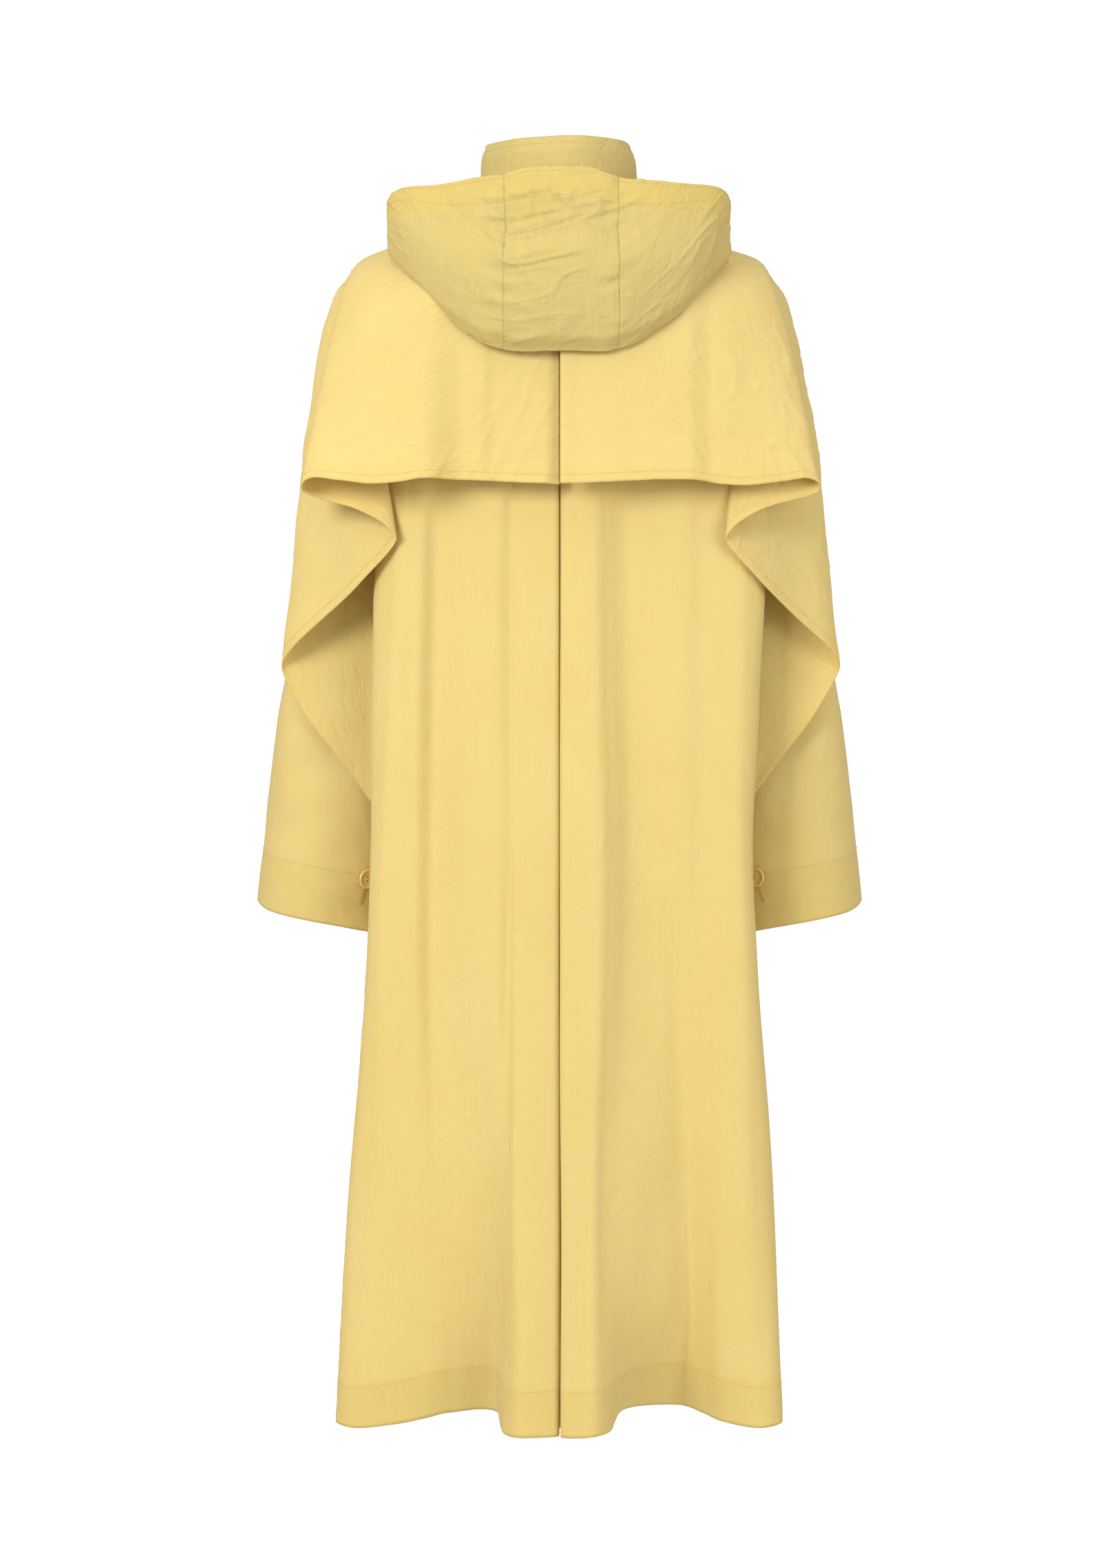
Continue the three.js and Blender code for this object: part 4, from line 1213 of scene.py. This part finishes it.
def tube(path, radius, sides, closed):
    # a round section carried along a path: its two directions are cross products with the path's
    ahead = np.gradient(path, axis=0)
    if closed:
        ahead = np.roll(path, -1, 0) - np.roll(path, 1, 0)
    ahead = ahead / np.linalg.norm(ahead, axis=1, keepdims=True)
    across = np.cross(ahead, [0.05, 0.1, 1.0])
    across = across / np.linalg.norm(across, axis=1, keepdims=True)
    up = np.cross(across, ahead)
    angle = np.linspace(0, 2 * math.pi, sides, endpoint=False)[None, :, None]
    return path[:, None] + (across[:, None] * np.cos(angle) + up[:, None] * np.sin(angle)) * radius


def tubePiece(name, paths, radius, material, closed=False):
    # one mesh of a tube along each path, which is joined end to start or gets a face at each end
    sides = 10
    points = []
    faces = []
    count = 0
    for path in paths:
        grid = np.swapaxes(tube(path, radius, sides, closed), 0, 1)
        length = grid.shape[1]
        faces += (gridFaces(sides, length, True) + count).tolist()
        first = np.arange(sides) * length + count
        last = first + length - 1
        if closed:
            after = np.roll(np.arange(sides), -1)
            faces += np.stack([last, last[after], first[after], first], -1).tolist()
        else:
            faces.append(first.tolist())
            faces.append(last[::-1].tolist())
        points.append(grid.reshape(-1, 3))
        count += sides * length
    return addObject(name, meshFrom(name, np.vstack(points), faces), material)


def drill(piece, cutter):
    # takes a cutter's shape out of a piece for good, and removes the cutter
    holes = piece.modifiers.new("holes", "BOOLEAN")
    holes.object = cutter
    holes.operation = "DIFFERENCE"
    holes.solver = "EXACT"
    bpy.context.view_layer.update()
    cut = bpy.data.meshes.new_from_object(piece.evaluated_get(bpy.context.evaluated_depsgraph_get()))
    piece.modifiers.clear()
    piece.data = cut
    bpy.data.objects.remove(cutter)


def seatOnSleeve(word):
    # where the button sits: the sleeve's nearest point, moved along its tangent plane to the
    # wanted place and lifted by the shank, and the direction it faces
    cloth = sleeveGrids[word]
    wanted = np.array(button["place"][word])
    apart = np.hypot(cloth[..., 0] - wanted[0], cloth[..., 2] - wanted[1])
    apart = apart + (cloth[..., 1] > 0.03)  # the sleeve's other side is too far
    spot = np.unravel_index(apart.argmin(), apart.shape)
    axis = gridNormals(cloth)[spot]
    axis = axis * (1 if axis[1] < 0 else -1)
    step = np.array([wanted[0] - cloth[spot][0], 0.0, wanted[1] - cloth[spot][2]])
    step[1] = -(axis @ step) / axis[1]
    return inRow(cloth[spot] + step) + axis * button["lift"], axis


def cuffButton(word, base, axis):
    # the turned profile with four holes bored through it, a quarter turn apart
    turn = turnTo(axis)
    local, faces = lathe(buttonProfile, button["steps"])
    name = f"cuffButton_{word}"
    disc = addObject(name, meshFrom(name, local @ turn.T + base, faces), buttonResin)
    cutters = []
    for k in range(4):
        angle = math.pi / 4 + k * math.pi / 2
        spot = base + turn @ np.array([math.cos(angle), math.sin(angle), 0]) * button["reach"]
        cutters.append(spot[None] + np.array([[-0.004], [0.008]]) * axis[None])
    drill(disc, tubePiece("cutter", cutters, button["hole"], buttonResin))
    finishPiece(disc, f"cuff_button_{word}", [f"cuff_button_{word}"])


def buttonThread(word, base, axis):
    # two rows of three threads from hole to hole, each a low arch of a sine
    turn = turnTo(axis)
    reach = button["reach"] * button["diagonal"]
    t = np.linspace(0, 1, 9)[:, None]
    arch = np.array([0, 0, button["threadArch"]]) * np.sin(math.pi * t)
    sewn = []
    for row in (-1, 1):
        for shift in (-button["thread"], 0.0, button["thread"]):
            a = np.array([row * reach + shift, -reach, button["threadFloor"]])
            b = np.array([row * reach + shift, reach, button["threadFloor"]])
            sewn.append((mix(a, b, t) + arch) @ turn.T + base)
    threads = tubePiece(f"buttonThread_{word}", sewn, button["thread"], thread)
    finishPiece(threads, f"cuff_button_{word}", [])


def boundButtonhole(word, hand, base, axis):
    # a stitched keyhole below the button: its two sides are a sine wave as wide as the slot,
    # widened round the eye
    middle = base + axis * button["thickness"] / 2
    aside = np.array([hand, 1, 1])
    head = middle - axis * (button["thickness"] / 2 + buttonhole["under"]) + aside * buttonhole["head"]
    down = aside * buttonhole["down"]
    down = down - axis * (down @ axis)
    length = np.linalg.norm(down)
    down = down / length
    side = np.cross(axis, down)
    angle = 2 * math.pi * np.linspace(0, 1, buttonhole["steps"], endpoint=False)
    along = length / 2 - (length / 2) * np.cos(angle)
    fromEye = np.abs(along / length - buttonhole["eyeAt"]) * 4
    widening = 1 + buttonhole["eye"] * smooth(0.55, 0.0, fromEye)
    width = buttonhole["halfWidth"] * np.sin(angle) * widening
    path = head + along[:, None] * down + width[:, None] * side
    # the darker binding thread paints the shade in the slot
    binding = tubePiece(f"buttonholeBinding_{word}", [path], buttonhole["thread"], holeThreadShaded, True)
    finishPiece(binding, f"sleeve_{word}", [f"cuff_buttonhole_{word}"])


for word, hand in sides:
    base, axis = seatOnSleeve(word)
    cuffButton(word, base, axis)
    buttonThread(word, base, axis)
    boundButtonhole(word, hand, base, axis)

# the press studs and the hanging loop keep their shapes and get their own materials
for name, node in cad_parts.items():
    if name.startswith("press_") or name == "hang_loop":
        node.data.materials.clear()
        node.data.materials.append(tapeCloth if name == "hang_loop" else nickel)

finishPiece(stitches("bodyStitches", stitchRows, thread), "shell", [])
print("trims sewn on")

# Stage, light and camera

studio = {
    "plane": -0.110,  # forward and height of the point that the camera looks at
    "height": 0.6277,
    "distance": 3.0,  # from the camera to that point
    "frame": 1.5,  # height of the view there
    "around": 0.52,  # light from all round
    "backdrop": 1.05,  # and from the pale wall beyond the coat
    "wall": (0.89, 0.94),  # shares of straight ahead between which the wall begins
    "floorDrop": 0.30,
    "floorRadius": 0.60,
    "floorSteps": 96,
}
# each light's place from the middle of the view, its size and its power
lights = {
    "keyLight": ((-1.9, -2.5, 1.2), 1.4, 87),
    "fillLight": ((2.5, -2.5, 0.3), 2.0, 54),
    "topLight": ((0.0, -0.6, 2.6), 2.4, 16),
}


def addArea(name, spot, target, size, power):
    # a square light whose face looks along the line to the target
    lamp = bpy.data.lights.new(name, "AREA")
    lamp.shape = "SQUARE"
    lamp.size = size
    lamp.energy = power
    holder = bpy.data.objects.new(name, lamp)
    holder.location = spot
    holder.rotation_euler = (target - spot).to_track_quat("-Z", "Y").to_euler()
    bpy.context.scene.collection.objects.link(holder)


def addStage():
    # a round floor below the coat, its rim by sine and cosine
    angle = np.linspace(0, 2 * math.pi, studio["floorSteps"], endpoint=False)
    around = np.stack([np.cos(angle), np.sin(angle), 0 * angle], -1) * studio["floorRadius"]
    points = around + np.array([0, middleY, hemZ - studio["floorDrop"]])
    material, tree = nodesFor("paleFloor")
    show(tree, surface(tree, {"Base Color": (0.9, 0.9, 0.9, 1), "Roughness": 0.9}))
    mesh = meshFrom("floor", points, [list(range(studio["floorSteps"]))])
    addObject("floor", mesh, material)


addStage()
focus = Vector((0.0, middleY + studio["plane"], hemZ + studio["height"]))
for name, (spot, size, power) in lights.items():
    addArea(name, focus + Vector(spot), focus, size, power)
world = bpy.data.worlds.new("studio")
world.use_nodes = True
sky = world.node_tree
# the wall is bright where a direction runs nearly straight ahead
direction = sky.nodes.new("ShaderNodeTexCoord")
apart = sky.nodes.new("ShaderNodeSeparateXYZ")
link(sky, direction.outputs["Generated"], apart.inputs["Vector"])
glow = ramp(sky, apart.outputs["Y"], *studio["wall"], studio["around"], studio["backdrop"])
link(sky, glow, sky.nodes["Background"].inputs["Strength"])
sky.nodes["Background"].inputs["Color"].default_value = (1, 1, 1, 1)
bpy.context.scene.world = world

lens = bpy.data.cameras.new("camera")
lens.sensor_width = 36
lens.lens = lens.sensor_width / studio["frame"] * studio["distance"]
lens.clip_end = 50
camera = bpy.data.objects.new("camera", lens)
camera.location = focus + Vector((0, -studio["distance"], 0))
camera.rotation_euler = (math.pi / 2, 0, 0)
bpy.context.scene.collection.objects.link(camera)
bpy.context.scene.camera = camera
bpy.context.scene.view_settings.view_transform = "Standard"
print("stage and camera set")
